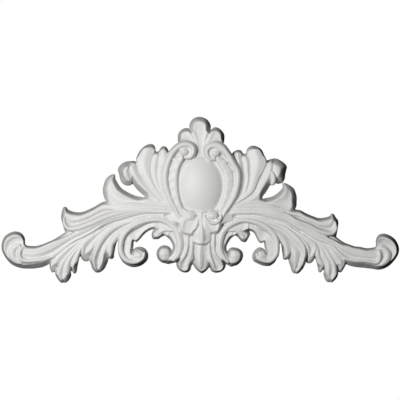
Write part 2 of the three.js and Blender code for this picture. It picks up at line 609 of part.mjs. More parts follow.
// Stations along a rib: its line widened to both sides, with round ends
function ribStations({ line }) {
  const curve = new THREE.CatmullRomCurve3(
    line.map(([x, z, , crest]) => new THREE.Vector3(x, crest, z)), false, 'catmullrom', 0.5);
  const widths = new THREE.CatmullRomCurve3(
    line.map(([, , width]) => new THREE.Vector3(width, 0, 0)), false, 'catmullrom', 0.5);
  const count = (line.length - 1) * stepsPerCut;
  const length = curve.getLength();
  const places = [0.02, ...Array.from({ length: count - 1 }, (_, i) => (i + 1) / count), 0.98];
  return places.map((t) => {
    const centre = curve.getPoint(t);
    const along = curve.getTangent(t);
    const across = new THREE.Vector3(-along.z, 0, along.x).normalize();
    const radius = widths.getPoint(t).x / 2;
    const toEnd = Math.min(t, 1 - t) * length;
    const half = toEnd < radius ? Math.sqrt(radius ** 2 - (radius - toEnd) ** 2) : radius;
    return [centre.clone().addScaledVector(across, half), centre.clone().addScaledVector(across, -half)];
  });
}

// Run of the stations' middles, from the first to each
function runs(stations) {
  const middles = stations.map(([left, right]) => left.clone().add(right).multiplyScalar(0.5).setY(0));
  const out = [0];
  for (let i = 1; i < middles.length; i++) out.push(out[i - 1] + middles[i].distanceTo(middles[i - 1]));
  return out;
}

// Rows of points across a leaf: [X, Z, height] from one edge to the other
function leafRows(spec) {
  const stations = leafStations(spec);
  const run = runs(stations);
  const length = run[run.length - 1];
  const lastFree = Math.max(...spec.free);
  return stations.map(([left, right], i) => {
    const t = run[i] / length;
    const toTip = Math.min(spec.tip ? length - run[i] : Infinity, spec.start ? run[i] : Infinity);
    const widen = spec.spread * THREE.MathUtils.clamp(((lastFree - t) / Math.max(lastFree, 1e-6)) * 3, 0, 1);
    const across = new THREE.Vector3(right.x - left.x, 0, right.z - left.z);
    const width = across.length() + 2 * widen;
    across.normalize();
    const from = left.clone().addScaledVector(across, -widen);
    const crest = left.y;
    const past = THREE.MathUtils.smoothstep(t, 0, 0.6);
    const slopes = spec.slopes.map(([root, later]) => THREE.MathUtils.lerp(root, later, past));
    const foot = spec.free.map((free) => {
      const alone = free > 0 ? THREE.MathUtils.smoothstep(t, free - 0.1, free + 0.04) : 1;
      return THREE.MathUtils.lerp(crest - spec.drop, lipHeight, alone);
    });
    const bevels = foot.map((height, side) => (crest - height) / slopes[side] / width);
    const shrink = Math.min(1, 0.9 / (bevels[0] + bevels[1]));
    const [near, far] = [bevels[0] * shrink, 1 - bevels[1] * shrink];
    const places = [0, ...facetsAcrossLeaf.map((f) => THREE.MathUtils.lerp(near, far, f)), 1];
    const closing = THREE.MathUtils.smoothstep(toTip, 0, Math.max(grooveFade * width, lipHeight));
    return places.map((u) => {
      const inset = (side) => 1 / Math.hypot(1 / Math.max(side, 1e-3), 1 / Math.max(toTip, 1e-3));
      const height = Math.min(
        crest + sectionHeight(spec.section, u) * width * closing,
        foot[0] + slopes[0] * inset(u * width),
        foot[1] + slopes[1] * inset((1 - u) * width),
      );
      return [from.x + across.x * u * width, from.z + across.z * u * width, height];
    });
  });
}

const ribSkirt = 0.6; // a rib's edge lies this share of its width below its crest
const ribRise = 3;

function ribRows(spec) {
  return ribStations(spec).map(([left, right]) => {
    const width = Math.hypot(right.x - left.x, right.z - left.z);
    return facetsAcrossRib.map((u) => {
      const skirt = left.y + (ribRise * Math.min(u, 1 - u) - ribSkirt) * width;
      const height = Math.min(left.y + sectionHeight(spec.section, u) * width, skirt);
      return [THREE.MathUtils.lerp(left.x, right.x, u), THREE.MathUtils.lerp(left.z, right.z, u), height];
    });
  });
}

// A closed body from rows of points: a box whose front is bent to the rows and whose back is the wall
function bodyFromRows(rows, place) {
  const across = rows[0].length - 1;
  const along = rows.length - 1;
  const box = new THREE.BoxGeometry(1, 1, 1, across, 1, along);
  const position = box.attributes.position;
  for (let i = 0; i < position.count; i++) {
    const row = rows[Math.round((position.getZ(i) + 0.5) * along)];
    const [x, z, height] = row[Math.round((position.getX(i) + 0.5) * across)];
    const [planX, planZ] = place(x, z);
    position.setXYZ(i, planX, position.getY(i) > 0 ? 0 : -height, planZ);
  }
  return box;
}

// Manifold solid of a closed geometry, turned inside out where a mirrored plan needs it
function toSolid(geometry) {
  geometry.deleteAttribute('normal');
  geometry.deleteAttribute('uv');
  const merged = mergeVertices(geometry);
  const points = merged.attributes.position.array;
  const triangles = new Uint32Array(merged.index.array);
  const corner = (i) => new THREE.Vector3().fromArray(points, triangles[i] * 3);
  let volume = 0;
  for (let i = 0; i < triangles.length; i += 3) {
    volume += corner(i).dot(corner(i + 1).cross(corner(i + 2)));
  }
  if (volume < 0) triangles.reverse();
  return new wasm.Manifold(new wasm.Mesh({
    numProp: 3, vertProperties: new Float32Array(points), triVerts: triangles,
  }));
}

// Every carving on both halves, in millimetres on the plan
function carvedBodies() {
  const bodies = [];
  for (const spec of carvings) {
    const rows = spec.line ? ribRows(spec) : leafRows(spec);
    bodies.push(bodyFromRows(rows, (x, z) => [-x, z]));
    if (!spec.once) bodies.push(bodyFromRows(rows, (x, z) => toRight(spec.name, x, z)));
  }
  return bodies;
}

// The cabochon: part of an ellipsoid that rises out of the frame
const cabochon = { halfWidth: 25.7, halfHeight: 33.6, centreZ: -1.5, depth: 12.2 };

function cabochonBody() {
  const body = new THREE.SphereGeometry(1, 28, 14);
  body.scale(cabochon.halfWidth, cabochon.depth, cabochon.halfHeight);
  body.translate(0, cabochon.depth - cabochonRise, cabochon.centreZ);
  return body;
}

const plain = carvedBodies();
const spanBox = new THREE.Box3();
for (const body of plain) spanBox.expandByObject(new THREE.Mesh(body));
const scale = overallWidth / (spanBox.max.x - spanBox.min.x);
for (const body of plain) body.scale(scale, carvingDepth / planDepth, scale);
const casting = [...plain, cabochonBody()].map(toSolid).reduce((whole, body) => whole.add(body));

// Joined leaves cross in many small facets. Edges are drawn together, the flattest first, until the
// casting has no more than facetLimit triangles. The back stays in its plane, and no facet turns over.
const facetLimit = 9800;
const leastTurn = 0.35; // a facet may turn by no more than the angle of this cosine
const leastArea = 0.004;

function thinned(solid) {
  const mesh = solid.getMesh();
  const spots = [];
  for (let i = 0; i < mesh.numVert; i++) {
    spots.push(new THREE.Vector3().fromArray(mesh.vertProperties, i * mesh.numProp));
  }
  const faces = [];
  for (let i = 0; i < mesh.triVerts.length; i += 3) faces.push([...mesh.triVerts.slice(i, i + 3)]);
  const facesAt = spots.map(() => new Set());
  faces.forEach((face, f) => face.forEach((v) => facesAt[v].add(f)));
  const onBack = (v) => spots[v].y > -1e-4;
  const normalOf = ([a, b, c]) => b.clone().sub(a).cross(c.clone().sub(a));

  // Each spot sums the planes of its facets, so that cost() is how far a place lies off them
  const planes = spots.map(() => new Float64Array(10));
  for (const face of faces) {
    const normal = normalOf(face.map((v) => spots[v]));
    const area = normal.length() / 2;
    if (area < 1e-9) continue;
    normal.normalize();
    const { x, y, z } = normal;
    const d = -normal.dot(spots[face[0]]);
    const terms = [x * x, x * y, x * z, x * d, y * y, y * z, y * d, z * z, z * d, d * d];
    for (const v of face) terms.forEach((term, k) => { planes[v][k] += term * area; });
  }
  const cost = (q, { x, y, z }) => q[0] * x * x + 2 * q[1] * x * y + 2 * q[2] * x * z + 2 * q[3] * x
    + q[4] * y * y + 2 * q[5] * y * z + 2 * q[6] * y + q[7] * z * z + 2 * q[8] * z + q[9];

  const heap = [];
  const stamp = new Uint32Array(spots.length);
  const push = (item) => {
    let i = heap.push(item) - 1;
    while (i > 0) {
      const up = (i - 1) >> 1;
      if (heap[up].cost <= heap[i].cost) break;
      [heap[up], heap[i]] = [heap[i], heap[up]];
      i = up;
    }
  };
  const pop = () => {
    const top = heap[0];
    const last = heap.pop();
    if (heap.length === 0) return top;
    heap[0] = last;
    for (let i = 0; ;) {
      let least = i;
      for (const down of [2 * i + 1, 2 * i + 2]) {
        if (down < heap.length && heap[down].cost < heap[least].cost) least = down;
      }
      if (least === i) return top;
      [heap[least], heap[i]] = [heap[i], heap[least]];
      i = least;
    }
  };
  const offer = (a, b) => {
    if (onBack(a) !== onBack(b)) return;
    const sum = planes[a].map((term, k) => term + planes[b][k]);
    const choices = [spots[a], spots[b], spots[a].clone().add(spots[b]).multiplyScalar(0.5)];
    const costs = choices.map((choice) => cost(sum, choice));
    const best = costs.indexOf(Math.min(...costs));
    const shortness = spots[a].distanceToSquared(spots[b]) * 1e-5;
    push({ a, b, spot: choices[best].clone(), cost: costs[best] + shortness, age: stamp[a] + stamp[b] });
  };
  const around = (v) => new Set([...facesAt[v]].flatMap((f) => faces[f]).filter((u) => u !== v));
  spots.forEach((_, v) => around(v).forEach((u) => { if (u > v) offer(v, u); }));

  const keepsShape = (v, other, spot) => [...facesAt[v]].every((f) => {
    if (faces[f].includes(other)) return true;
    const before = normalOf(faces[f].map((u) => spots[u]));
    const after = normalOf(faces[f].map((u) => (u === v ? spot : spots[u])));
    return after.length() > leastArea && after.dot(before) > leastTurn * after.length() * before.length();
  });

  let count = faces.length;
  const gone = new Uint8Array(faces.length);
  const dead = new Uint8Array(spots.length);
  while (count > facetLimit && heap.length > 0) {
    const { a, b, spot, age } = pop();
    if (dead[a] || dead[b] || age !== stamp[a] + stamp[b]) continue;
    const beside = around(b);
    const shared = [...around(a)].filter((v) => beside.has(v));
    if (shared.length !== 2 || !keepsShape(a, b, spot) || !keepsShape(b, a, spot)) continue;
    spots[a] = spot;
    planes[a] = planes[a].map((term, k) => term + planes[b][k]);
    dead[b] = 1;
    for (const f of [...facesAt[b]]) {
      if (faces[f].includes(a)) {
        faces[f].forEach((v) => facesAt[v].delete(f));
        gone[f] = 1;
        count -= 1;
      } else {
        faces[f] = faces[f].map((v) => (v === b ? a : v));
        facesAt[a].add(f);
      }
    }
    const ring = around(a);
    stamp[a] += 1;
    ring.forEach((v) => offer(a, v));
  }
  const geometry = new THREE.BufferGeometry().setFromPoints(spots);
  geometry.setIndex(faces.filter((_, f) => !gone[f]).flat());
  return mergeVertices(geometry);
}

const whitePaint = new THREE.MeshStandardMaterial({ color: 0xebeae6, roughness: 0.62, metalness: 0 });
const onlay = new THREE.Mesh(thinned(casting), whitePaint);
onlay.name = 'scroll_onlay';

const group = new THREE.Group();
group.add(onlay);

export default group;
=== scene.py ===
"""White scroll onlay: a symmetrical spray of acanthus scrolls round an oval cabochon, one casting
with a flat back that is fixed to a wall or a piece of furniture.
"""

import math

import bmesh
import bpy
import numpy as np
from bpy.props import FloatProperty, FloatVectorProperty, IntProperty, PointerProperty
from mathutils import Matrix, Vector


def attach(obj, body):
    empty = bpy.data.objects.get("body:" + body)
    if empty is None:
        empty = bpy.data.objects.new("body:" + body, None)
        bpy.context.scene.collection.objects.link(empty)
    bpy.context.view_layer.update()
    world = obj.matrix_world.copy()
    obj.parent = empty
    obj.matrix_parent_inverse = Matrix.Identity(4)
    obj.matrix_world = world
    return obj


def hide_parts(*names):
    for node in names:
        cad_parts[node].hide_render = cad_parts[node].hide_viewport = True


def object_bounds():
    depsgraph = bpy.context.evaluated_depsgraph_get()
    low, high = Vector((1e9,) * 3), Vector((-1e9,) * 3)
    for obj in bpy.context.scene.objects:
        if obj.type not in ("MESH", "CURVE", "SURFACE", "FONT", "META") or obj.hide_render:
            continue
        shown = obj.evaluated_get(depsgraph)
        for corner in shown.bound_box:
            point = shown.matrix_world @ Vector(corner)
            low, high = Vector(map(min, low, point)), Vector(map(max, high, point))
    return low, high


bl_info = {
    "name": "Scroll Onlay",
    "version": (1, 0, 0),
    "blender": (4, 5, 0),
    "location": "View3D > Sidebar > Onlay",
    "description": "Carves the white scroll onlay in full relief and sets it up to be looked at",
    "category": "Add Mesh",
}

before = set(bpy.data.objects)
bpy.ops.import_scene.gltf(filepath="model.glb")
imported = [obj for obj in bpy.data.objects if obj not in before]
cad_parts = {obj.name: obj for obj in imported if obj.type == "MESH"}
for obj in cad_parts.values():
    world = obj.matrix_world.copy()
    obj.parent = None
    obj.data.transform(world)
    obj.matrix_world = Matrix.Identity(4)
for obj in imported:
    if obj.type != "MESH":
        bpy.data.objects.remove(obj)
SOLID_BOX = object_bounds()
MM = 0.001


# The plan of the carving

# It is drawn as one half, in millimetres: X is the distance from the centre line to the left, Z is up
# from the middle of the cabochon, and heights are measured out from the wall.
CARVINGS = []


def leaf(name, section, cuts, start=None, tip=None, slopes=((2, 4.2), (2, 4.2)),
         free=(0.95, 0.95), drop=4, spread=0.4, point=0.5, once=False):
    """A tapering carving. A cut is (first edge X, Z, second edge X, Z, crest height). Past its free
    share an edge stands alone and its bevel runs down to the wall. Before it the bevel stops drop
    below the crest, in a groove beside its neighbour. A slope is a bevel's rise for one of run, or
    that at the root and past the middle. Spread widens it under its neighbours, and point sharpens
    its tip. A carving that is made once has X positive to the left only.
    """
    CARVINGS.append(dict(name=name, section=section, cuts=cuts, start=start, tip=tip, slopes=slopes,
                         free=free, drop=drop, spread=spread, point=point, once=once))


def rib(name, section, line, once=False):
    """A raised line with round ends. A point of it is (X, Z, width, crest height)."""
    CARVINGS.append(dict(name=name, section=section, line=line, once=once))


# Sections across a carving: place across it, and height from its crest as a share of its width
SECTIONS = {
    "dome": ((0, -0.4), (0.22, -0.13), (0.5, 0), (0.78, -0.13), (1, -0.4)),
    "cushion": ((0, -0.1), (0.5, 0), (1, -0.1)),
    "hollow": ((0, -0.04), (0.14, 0), (0.5, -0.2), (0.86, 0), (1, -0.04)),
    "rim below": ((0, -0.08), (0.36, -0.06), (0.51, -0.21), (0.57, -0.21), (0.72, 0), (1, -0.06)),
    "rim above": ((0, -0.04), (0.1, 0), (0.34, -0.26), (0.62, -0.17), (1, -0.1)),
    "trough": (
        (0, -0.04), (0.05, 0), (0.36, -0.03), (0.55, -0.15), (0.63, -0.15), (0.74, -0.03), (1, -0.08),
    ),
    "ridge": ((0, -0.25), (0.25, -0.17), (0.5, 0), (0.75, -0.17), (1, -0.25)),
    "swept": ((0, -0.02), (0.1, 0), (0.55, -0.14), (1, -0.08)),
    "roll": ((0, -0.18), (0.2, -0.05), (0.5, 0), (0.8, -0.06), (1, -0.17)),
    "slanted band": ((0, -0.34), (0.26, -0.03), (0.38, 0), (0.75, -0.08), (1, -0.24)),
    "rail": ((0, -0.56), (0.3, -0.08), (0.5, 0), (0.68, -0.08), (1, -0.56)),
    "boss": ((0, -0.22), (0.2, -0.07), (0.5, 0), (0.8, -0.07), (1, -0.22)),
    "flat": ((0, 0), (1, 0)),
    "dish": ((0, -0.05), (0.13, 0), (0.32, -0.07), (0.68, -0.07), (0.87, 0), (1, -0.05)),
    "shingle": ((0, -0.14), (0.14, 0), (0.46, -0.03), (0.88, -0.52), (1, -0.52)),
    "curl": ((0, -0.32), (0.3, -0.24), (0.62, 0), (1, -0.05)),
}

# Stem and volute
leaf(
    "stem", "trough", slopes=(6, 1.7), free=(0.72, 0.82), drop=7,
    cuts=(
        (20, -34, 24, -44, 17), (34, -30.5, 37, -37, 17), (52, -29.5, 54, -35, 17),
        (70, -30, 72, -36.5, 17), (90, -32.5, 91, -41.5, 17), (110, -38, 110.5, -47.5, 17),
        (130, -46.5, 130, -59.5, 16.5), (150, -55.5, 152, -71.5, 15), (170, -63, 177, -92, 15),
        (190, -70.5, 192, -96.8, 15), (206, -70, 206, -97, 14.5),
    ),
)
leaf(
    "volute", "curl", slopes=(4.2, (1.9, 3.2)), free=(2, 0), drop=3, spread=0,
    cuts=(
        (192, -84, 192, -96.8, 12.6), (205, -87, 209, -96.6, 13), (214.5, -86.5, 222.5, -90, 13.6),
        (220.5, -77.5, 231.5, -75, 14.2), (217.5, -69.5, 229, -61, 15), (211, -66.3, 219, -54.3, 15.4),
        (207.5, -67, 209.8, -55.2, 15.2), (206.5, -69, 204.9, -61, 14.5), (206.5, -71, 204.4, -67, 14),
        (207, -73, 204.4, -71, 13),
    ),
)
rib(
    "stem_rim", "dome",
    line=(
        (168, -82.5, 2, 13), (176, -84.3, 3.5, 14.4), (185, -86.2, 4.3, 15.2), (194, -87.5, 4.8, 15.6),
        (202, -87.9, 5, 16), (208, -86, 5.5, 17), (210.3, -81, 5.5, 17.5), (209.3, -76, 5, 17.2),
        (206, -72.3, 3, 15.5),
    ),
)
rib(
    "volute_lobe", "dome",
    line=(
        (206.5, -90.6, 3, 13.6), (212.3, -88.8, 6, 15.4), (217.5, -84, 9, 16.4),
        (218.8, -77.5, 9, 16.4), (215.3, -72, 7.5, 15.8), (208.5, -69.3, 5, 15),
    ),
)
# Leaves and veins along the top of the stem
leaf(
    "outer_leaf", "rim below", slopes=((4.2, 3.2), (1.8, 1.8)), free=(0.56, 0.8), point=0.8,
    tip=(160.3, -26.3, 13),
    cuts=(
        (24, -28, 26, -35, 17), (40, -25, 42, -31.5, 17), (58, -24.5, 62, -31, 16.5),
        (75, -23, 80, -33, 16), (95, -22.5, 98, -37, 15.5), (112, -19.5, 114, -42, 15.2),
        (125, -26, 128, -48.5, 15.2), (138, -31.3, 142, -54.5, 15.5), (148, -31, 156, -56.5, 15.5),
        (155, -28.3, 162.3, -40, 14.8),
    ),
)
leaf(
    "upper_leaf", "swept", slopes=(2.6, 1.55), free=(0.45, 0.78), tip=(103.5, 12.4, 8),
    cuts=(
        (24, -24, 26, -33, 17), (40, -19.5, 42, -29, 17), (50, -17.5, 53, -27, 17),
        (64, -15, 67, -26, 16.5), (76, -12.8, 84, -25, 16), (86, -8, 101, -23.5, 15.5),
        (92.5, -3.5, 111, -17.5, 15), (96.5, 2, 114.2, -6, 14), (99.8, 8, 112, 4, 12),
    ),
)
rib(
    "vein1", "dome",
    line=(
        (26, -27, 3, 15.3), (38, -24.5, 4, 17.4), (48, -24, 4, 17.6), (65, -23.2, 4.5, 17.2),
        (80, -22.7, 4, 16.6), (92, -22.5, 1, 15),
    ),
)
rib(
    "vein2", "dome",
    line=(
        (26, -30.5, 3, 15.3), (38, -27.8, 3.5, 17.4), (50, -27.3, 3.5, 17.6), (65, -26.8, 4, 17.4),
        (82, -26.8, 4.5, 16.8), (98, -28, 1, 15),
    ),
)
rib(
    "vein3", "dome",
    line=(
        (26, -35, 3, 15.3), (38, -31.5, 3.5, 17.6), (50, -31, 4, 17.8), (68, -30, 4.5, 17.6),
        (88, -31, 5.5, 18), (108, -36.3, 6.5, 18.6), (126, -44, 7, 18.6), (143, -50, 6.5, 17.8),
        (153, -50.5, 4.5, 16.4), (158, -45, 3.5, 15.5), (158.3, -36, 2, 14.6),
    ),
)
# Fan of leaves above the spray
leaf(
    "curl_leaf", "dome", slopes=((2, 4.2), 2.4), free=(0.8, 0.42), drop=3, spread=0.8,
    tip=(87, 25, 15),
    cuts=(
        (30, -23, 34, -29, 17), (44, -18, 50, -22, 17), (53, -9, 60, -16, 16.5),
        (60, 0, 68.5, -9.5, 16.2), (66.5, 9, 76, -2.5, 16), (71, 17.5, 81, 5, 16),
        (74, 26.4, 86, 14, 16),
    ),
)
leaf(
    "curl_head", "roll", slopes=(2.2, 4.2), free=(0, 0), spread=0, start=(84, 27.8, 13.5),
    tip=(85.5, -0.8, 13),
    cuts=(
        (96.8, 17.5, 74.5, 19, 15.6), (94.3, 8.5, 77.5, 7, 15.4),
    ),
)
rib(
    "curl_fold", "dome",
    line=(
        (84, 21.5, 3, 16.8), (87.3, 16.5, 7, 17.9), (86, 10.5, 7.5, 17.6), (82.5, 4.5, 4.5, 15.6),
    ),
)
leaf(
    "broad_leaf", "cushion", slopes=((2, 4.2), (2, 2.2)), free=(0.85, 0.97), tip=(60, 47.6, 14),
    cuts=(
        (34, -25, 28, -28, 17.5), (47, -15.5, 40.5, -17, 17.3), (58, -4, 50, -5, 16.7),
        (66, 8, 56, 7.5, 16), (71.5, 17, 58, 17, 15.7), (75, 29, 57, 29, 15.2),
        (74, 34, 53.5, 37.5, 14.8),
    ),
)
leaf(
    "narrow_leaf1", "dome", slopes=((2, 4.2), (2, 2.6)), free=(0.97, 0.97), spread=0.8, point=0.8,
    tip=(49, 39.5, 13),
    cuts=(
        (30, -27, 26, -30, 16.8), (45, -14, 40.5, -15, 16.2), (53, -1, 47, -2, 15.8),
        (57.5, 10, 49.5, 10, 15.4), (59, 22, 49.2, 22, 15), (57.5, 31, 47, 31, 14.5),
    ),
)
leaf(
    "narrow_leaf2", "dome", slopes=((2, 2.8), (2, 4.2)), free=(0.97, 0.92), spread=0.8,
    tip=(43.3, 45.3, 13),
    cuts=(
        (28, -28, 24, -31, 16.3), (42.5, -15, 37, -16, 15.8), (49, 0, 42, -1, 15.4),
        (51, 12, 42.5, 12, 15), (50, 24, 39.8, 25, 14.8), (49, 36, 37.3, 36, 14.2),
    ),
)
# Leaves and tips under the stem
leaf(
    "mid1", "hollow", slopes=((2, 4.2), (2, 1.8)), free=(0.93, 0.9), tip=(135.5, -88.5, 12),
    cuts=(
        (42, -34, 43, -37, 16.3), (56, -34, 57, -37.3, 16.2), (70, -35.3, 71, -39, 16),
        (85, -39.5, 86, -43, 14.2), (100, -44.2, 100.5, -48.5, 14), (114.5, -51.3, 111.5, -56.5, 14.2),
        (127, -59, 120, -66, 14.5), (137.5, -67, 126, -79, 14.5), (139.7, -79, 128, -83.5, 13.5),
    ),
)
leaf(
    "mid2a", "shingle", slopes=((2, 3), (2, 4.2)), free=(0.78, 0.9), drop=6, tip=(121.3, -101.8, 11),
    cuts=(
        (50, -36, 50, -40, 16), (64, -37, 64, -41.5, 16), (78, -39.5, 78, -45, 15.6),
        (92, -42.8, 90, -49.5, 15.5), (106, -49, 100.5, -57.5, 15.6), (117, -58.8, 107.5, -66, 15.6),
        (124.5, -72, 114, -76.5, 15.5), (129.5, -85, 117.5, -87, 14.5), (127.5, -93.5, 118, -96, 13),
    ),
)
leaf(
    "mid2b", "dome", slopes=((2, 4.2), (2, 1.9)), free=(0.9, 0.78), tip=(118.5, -101.6, 11),
    cuts=(
        (64, -40, 64, -43, 14.5), (78, -43.5, 77, -46.5, 14.3), (90, -48.5, 88, -52.5, 13.4),
        (102, -56.5, 97.5, -60.5, 13), (111, -66.5, 105, -70, 12.8), (116.5, -77, 108.7, -78.5, 12.8),
        (118.8, -87, 107.8, -87, 12.6), (119.5, -94.5, 110.5, -94.5, 12),
    ),
)
leaf(
    "mid3", "dome", free=(0.85, 0.72), tip=(104, -86, 11.5),
    cuts=(
        (66, -42, 64, -46, 15), (76, -45.5, 74, -50, 16), (88, -49.5, 86, -55, 15.5),
        (100, -57, 95, -61.5, 15), (107.5, -66, 98.5, -68, 14.5), (110.5, -76, 100, -76, 13.5),
        (109, -81.5, 101, -81.5, 13),
    ),
)
leaf(
    "tip1", "dome", slopes=((2, 4.2), (2, 2)), free=(0.9, 0.86), point=0.7, tip=(173, -101.5, 11),
    cuts=(
        (118, -49.5, 117, -53, 12.6), (132, -58, 131, -61.5, 12.6), (145, -65, 144, -70, 13),
        (158, -72, 153, -79, 14), (170, -81, 160, -88.5, 13.5), (175.5, -91, 166, -96, 12.5),
    ),
)
leaf(
    "tip2a", "dome", slopes=((2, 3), (2, 4.2)), free=(0.86, 0.95), tip=(161.5, -113.8, 10),
    cuts=(
        (126, -56, 125, -60, 12.8), (140, -65, 138.5, -68.5, 12.8), (150, -74.5, 147.5, -77.5, 13.2),
        (159, -85, 155.5, -87, 13.5), (166, -95.5, 159.5, -96.5, 13), (169.5, -103, 160.5, -104, 12.5),
    ),
)
leaf(
    "tip2b", "dome", slopes=((2, 4.2), (2, 2.1)), free=(0.95, 0.86), tip=(158.5, -113.6, 10),
    cuts=(
        (125, -58, 124, -62, 13), (139, -67.5, 137.5, -70.5, 13), (148, -76, 144.5, -79.5, 13.3),
        (156, -86.5, 150.5, -89, 13.5), (160, -96.5, 151.5, -98, 13), (161, -104, 150.7, -105, 12),
    ),
)
leaf(
    "tip3", "dome", slopes=((2, 4.2), (2, 2.6)), free=(0.9, 0.78), tip=(147, -103, 10.5),
    cuts=(
        (126, -60.5, 124, -64.5, 13.2), (137.5, -68.5, 135.5, -71.5, 14),
        (144.5, -79, 140.5, -81, 13.5), (150, -89, 142.8, -90.5, 12.7), (150, -97, 144, -98, 12),
    ),
)
# Hooked scrolls
leaf(
    "hook1_hollow", "rim above", slopes=(4.2, 4.2), free=(0.6, 0.22), spread=0, tip=(84.5, -86, 16),
    cuts=(
        (34, -36, 36, -50, 16), (52, -37, 54, -51, 15.5), (66, -40, 64, -55.5, 15),
        (79, -47, 73.9, -66, 14.5), (88, -56, 77.8, -65, 14.3), (94.5, -68, 78.5, -71.5, 14.5),
        (95, -76, 79.5, -77, 15),
    ),
)
leaf(
    "hook1_curl", "rim above", slopes=(2.6, 4.2), free=(0, 0.95), spread=0, tip=(76, -72.5, 14),
    cuts=(
        (96.5, -74, 84, -75, 11), (95.5, -81, 83, -78, 12), (90.5, -90, 80.5, -80, 15.5),
        (81, -95.2, 77, -81, 16), (71, -94.2, 74, -80, 16), (62.8, -88, 71, -78, 16),
        (61.2, -80, 71, -77, 16), (66, -73.6, 72, -76, 15.5),
    ),
)
leaf(
    "hook1_ball", "boss", slopes=(4.2, 2.6), free=(0, 0), spread=0, start=(71.5, -92.5, 14),
    tip=(71.3, -71.6, 14),
    cuts=(
        (81, -82, 61.3, -81.5, 17.5),
    ),
)
rib(
    "arch", "dome",
    line=(
        (65.3, -77.5, 3, 16), (67.6, -84.5, 4.5, 16.8), (74, -88.6, 5, 17), (82, -88.7, 5.5, 17),
        (89, -84.3, 6.3, 17), (92.8, -76, 6.5, 17.2), (92.3, -65, 6.5, 17.2), (88, -56, 6, 17.3),
        (80, -48.5, 6, 17.6), (70, -43.5, 6, 18), (58, -40.5, 6, 18), (46, -40.5, 6, 18),
        (37, -44.5, 7, 18.2), (29, -52, 8.8, 18.4), (25, -62, 9.4, 18.4), (24.2, -72, 9.2, 18),
        (26.8, -81, 7, 17.3), (33.5, -88, 4, 16),
    ),
)
leaf(
    "hook2_band", "rim above", slopes=((4.2, 2.8), 4.2), free=(0.72, 0.3), spread=0, tip=(48, -86, 15),
    cuts=(
        (56, -37, 54, -49, 16), (46, -37, 46, -54, 16), (34, -41, 40.5, -59.5, 16),
        (24, -50, 37, -62.5, 16), (19.5, -61, 34.4, -66.5, 16), (19, -71, 32.7, -71.5, 16),
        (21, -80.5, 34, -77, 16), (28, -89, 38, -82, 16), (38, -92, 41, -83, 15.5),
    ),
)
leaf(
    "hook2_ball", "boss", slopes=(4.2, 4.2), free=(0, 0), spread=0, start=(42, -90.8, 14),
    tip=(42.3, -69.9, 14),
    cuts=(
        (51.8, -79.6, 33.3, -79.6, 17.6),
    ),
)
leaf(
    "hook2_leaf", "hollow", free=(0.5, 0.1), spread=0, tip=(57.3, -59.5, 12.5),
    cuts=(
        (36, -48.5, 37.5, -59.5, 15.3), (44, -48.8, 43, -59, 15.2), (50.5, -50, 49.5, -62.7, 14.9),
        (55, -52.5, 53, -63, 14.4),
    ),
)
rib(
    "hook2_vein", "dome",
    line=(
        (33, -53, 2, 16), (41, -52, 3.5, 16), (47.5, -54.5, 3.5, 15.3), (52, -59, 1.5, 13.8),
    ),
)
# Crown
leaf(
    "crown", "dish", once=True, slopes=(2.3, 2.3), free=(0.66, 0.66), drop=1.5, tip=(1.3, 79.3, 14.6),
    cuts=(
        (4, 30, -4, 30, 13.5), (5, 46, -4.5, 46, 13.5), (8.5, 55, -7, 56, 14),
        (12.5, 61, -10.5, 62, 14.5), (13.6, 68, -11.5, 67, 14.6),
    ),
)
leaf(
    "crown_side", "dish", slopes=(2.8, 2.8), free=(0.62, 0.85), drop=2.5, tip=(19, 66, 13.8),
    cuts=(
        (14, 38, 2, 42, 13), (22, 42, 5, 50, 13.5), (26.2, 50, 9, 57, 14), (26.9, 57.3, 12, 61.2, 14),
    ),
)
# Frame round the cabochon
leaf(
    "frame_ground", "cushion", free=(0.86, 0.8), drop=1, spread=0, tip=(19, 50.6, 16),
    cuts=(
        (28, -40, 12, -38, 16), (36.5, -22, 20, -24, 16), (42, -8, 23, -8, 16), (44.6, 9, 23.6, 9, 16),
        (43, 23, 20.5, 23, 16), (37.5, 35, 10, 32, 16),
    ),
)
leaf(
    "frame_apron", "cushion", slopes=(1.7, 1.7), free=(2, 2), drop=7, spread=0, start=(13, 27, 18),
    tip=(11, 49.5, 18.5),
    cuts=(
        (22, 33, 4.5, 32.5, 18), (21, 41, 3, 41, 18.5),
    ),
)
rib(
    "frame_rim", "rail",
    line=(
        (24.5, -38.5, 4, 20.5), (28.5, -30, 6.5, 20.8), (34, -20, 8.5, 21.2), (38.3, -9, 9.6, 21.6),
        (41, 2, 10, 21.8), (41.3, 13, 10, 21.8), (39, 24, 9.6, 22), (34.6, 34.5, 9, 22.2),
        (28.6, 42.2, 8.5, 22.3), (21, 46.7, 8.5, 22.4), (14, 46.6, 8.3, 22.4), (9.3, 43, 8, 22.4),
        (9, 37, 7, 22), (13, 32, 5, 21.2), (19.5, 31.5, 3, 20),
    ),
)
rib(
    "bead_band", "slanted band",
    line=(
        (20, -37, 8, 18.5), (24.6, -27.5, 10.5, 19.8), (28.8, -16, 12, 20.2), (30.8, -4, 12.4, 20.2),
        (31.2, 8, 12.4, 20.3), (29.4, 19, 12, 20.5), (25.8, 27, 10.5, 20.6), (21.5, 33, 8, 21),
    ),
)
leaf(
    "frame_eye", "boss", free=(2, 2), drop=5, spread=0, start=(19.4, 32.6, 20), tip=(19.4, 43.4, 20),
    cuts=(
        (24.7, 38.2, 14, 37.8, 23),
    ),
)
rib(
    "oval_ledge", "dome", once=True,
    line=(
        (23, -26, 2.5, 18.5), (17, -31, 3, 20.5), (8, -33, 3, 21), (0, -33.4, 3, 21), (-8, -33, 3, 21),
        (-17, -31, 3, 20.5), (-23, -26, 2.5, 18.5),
    ),
)
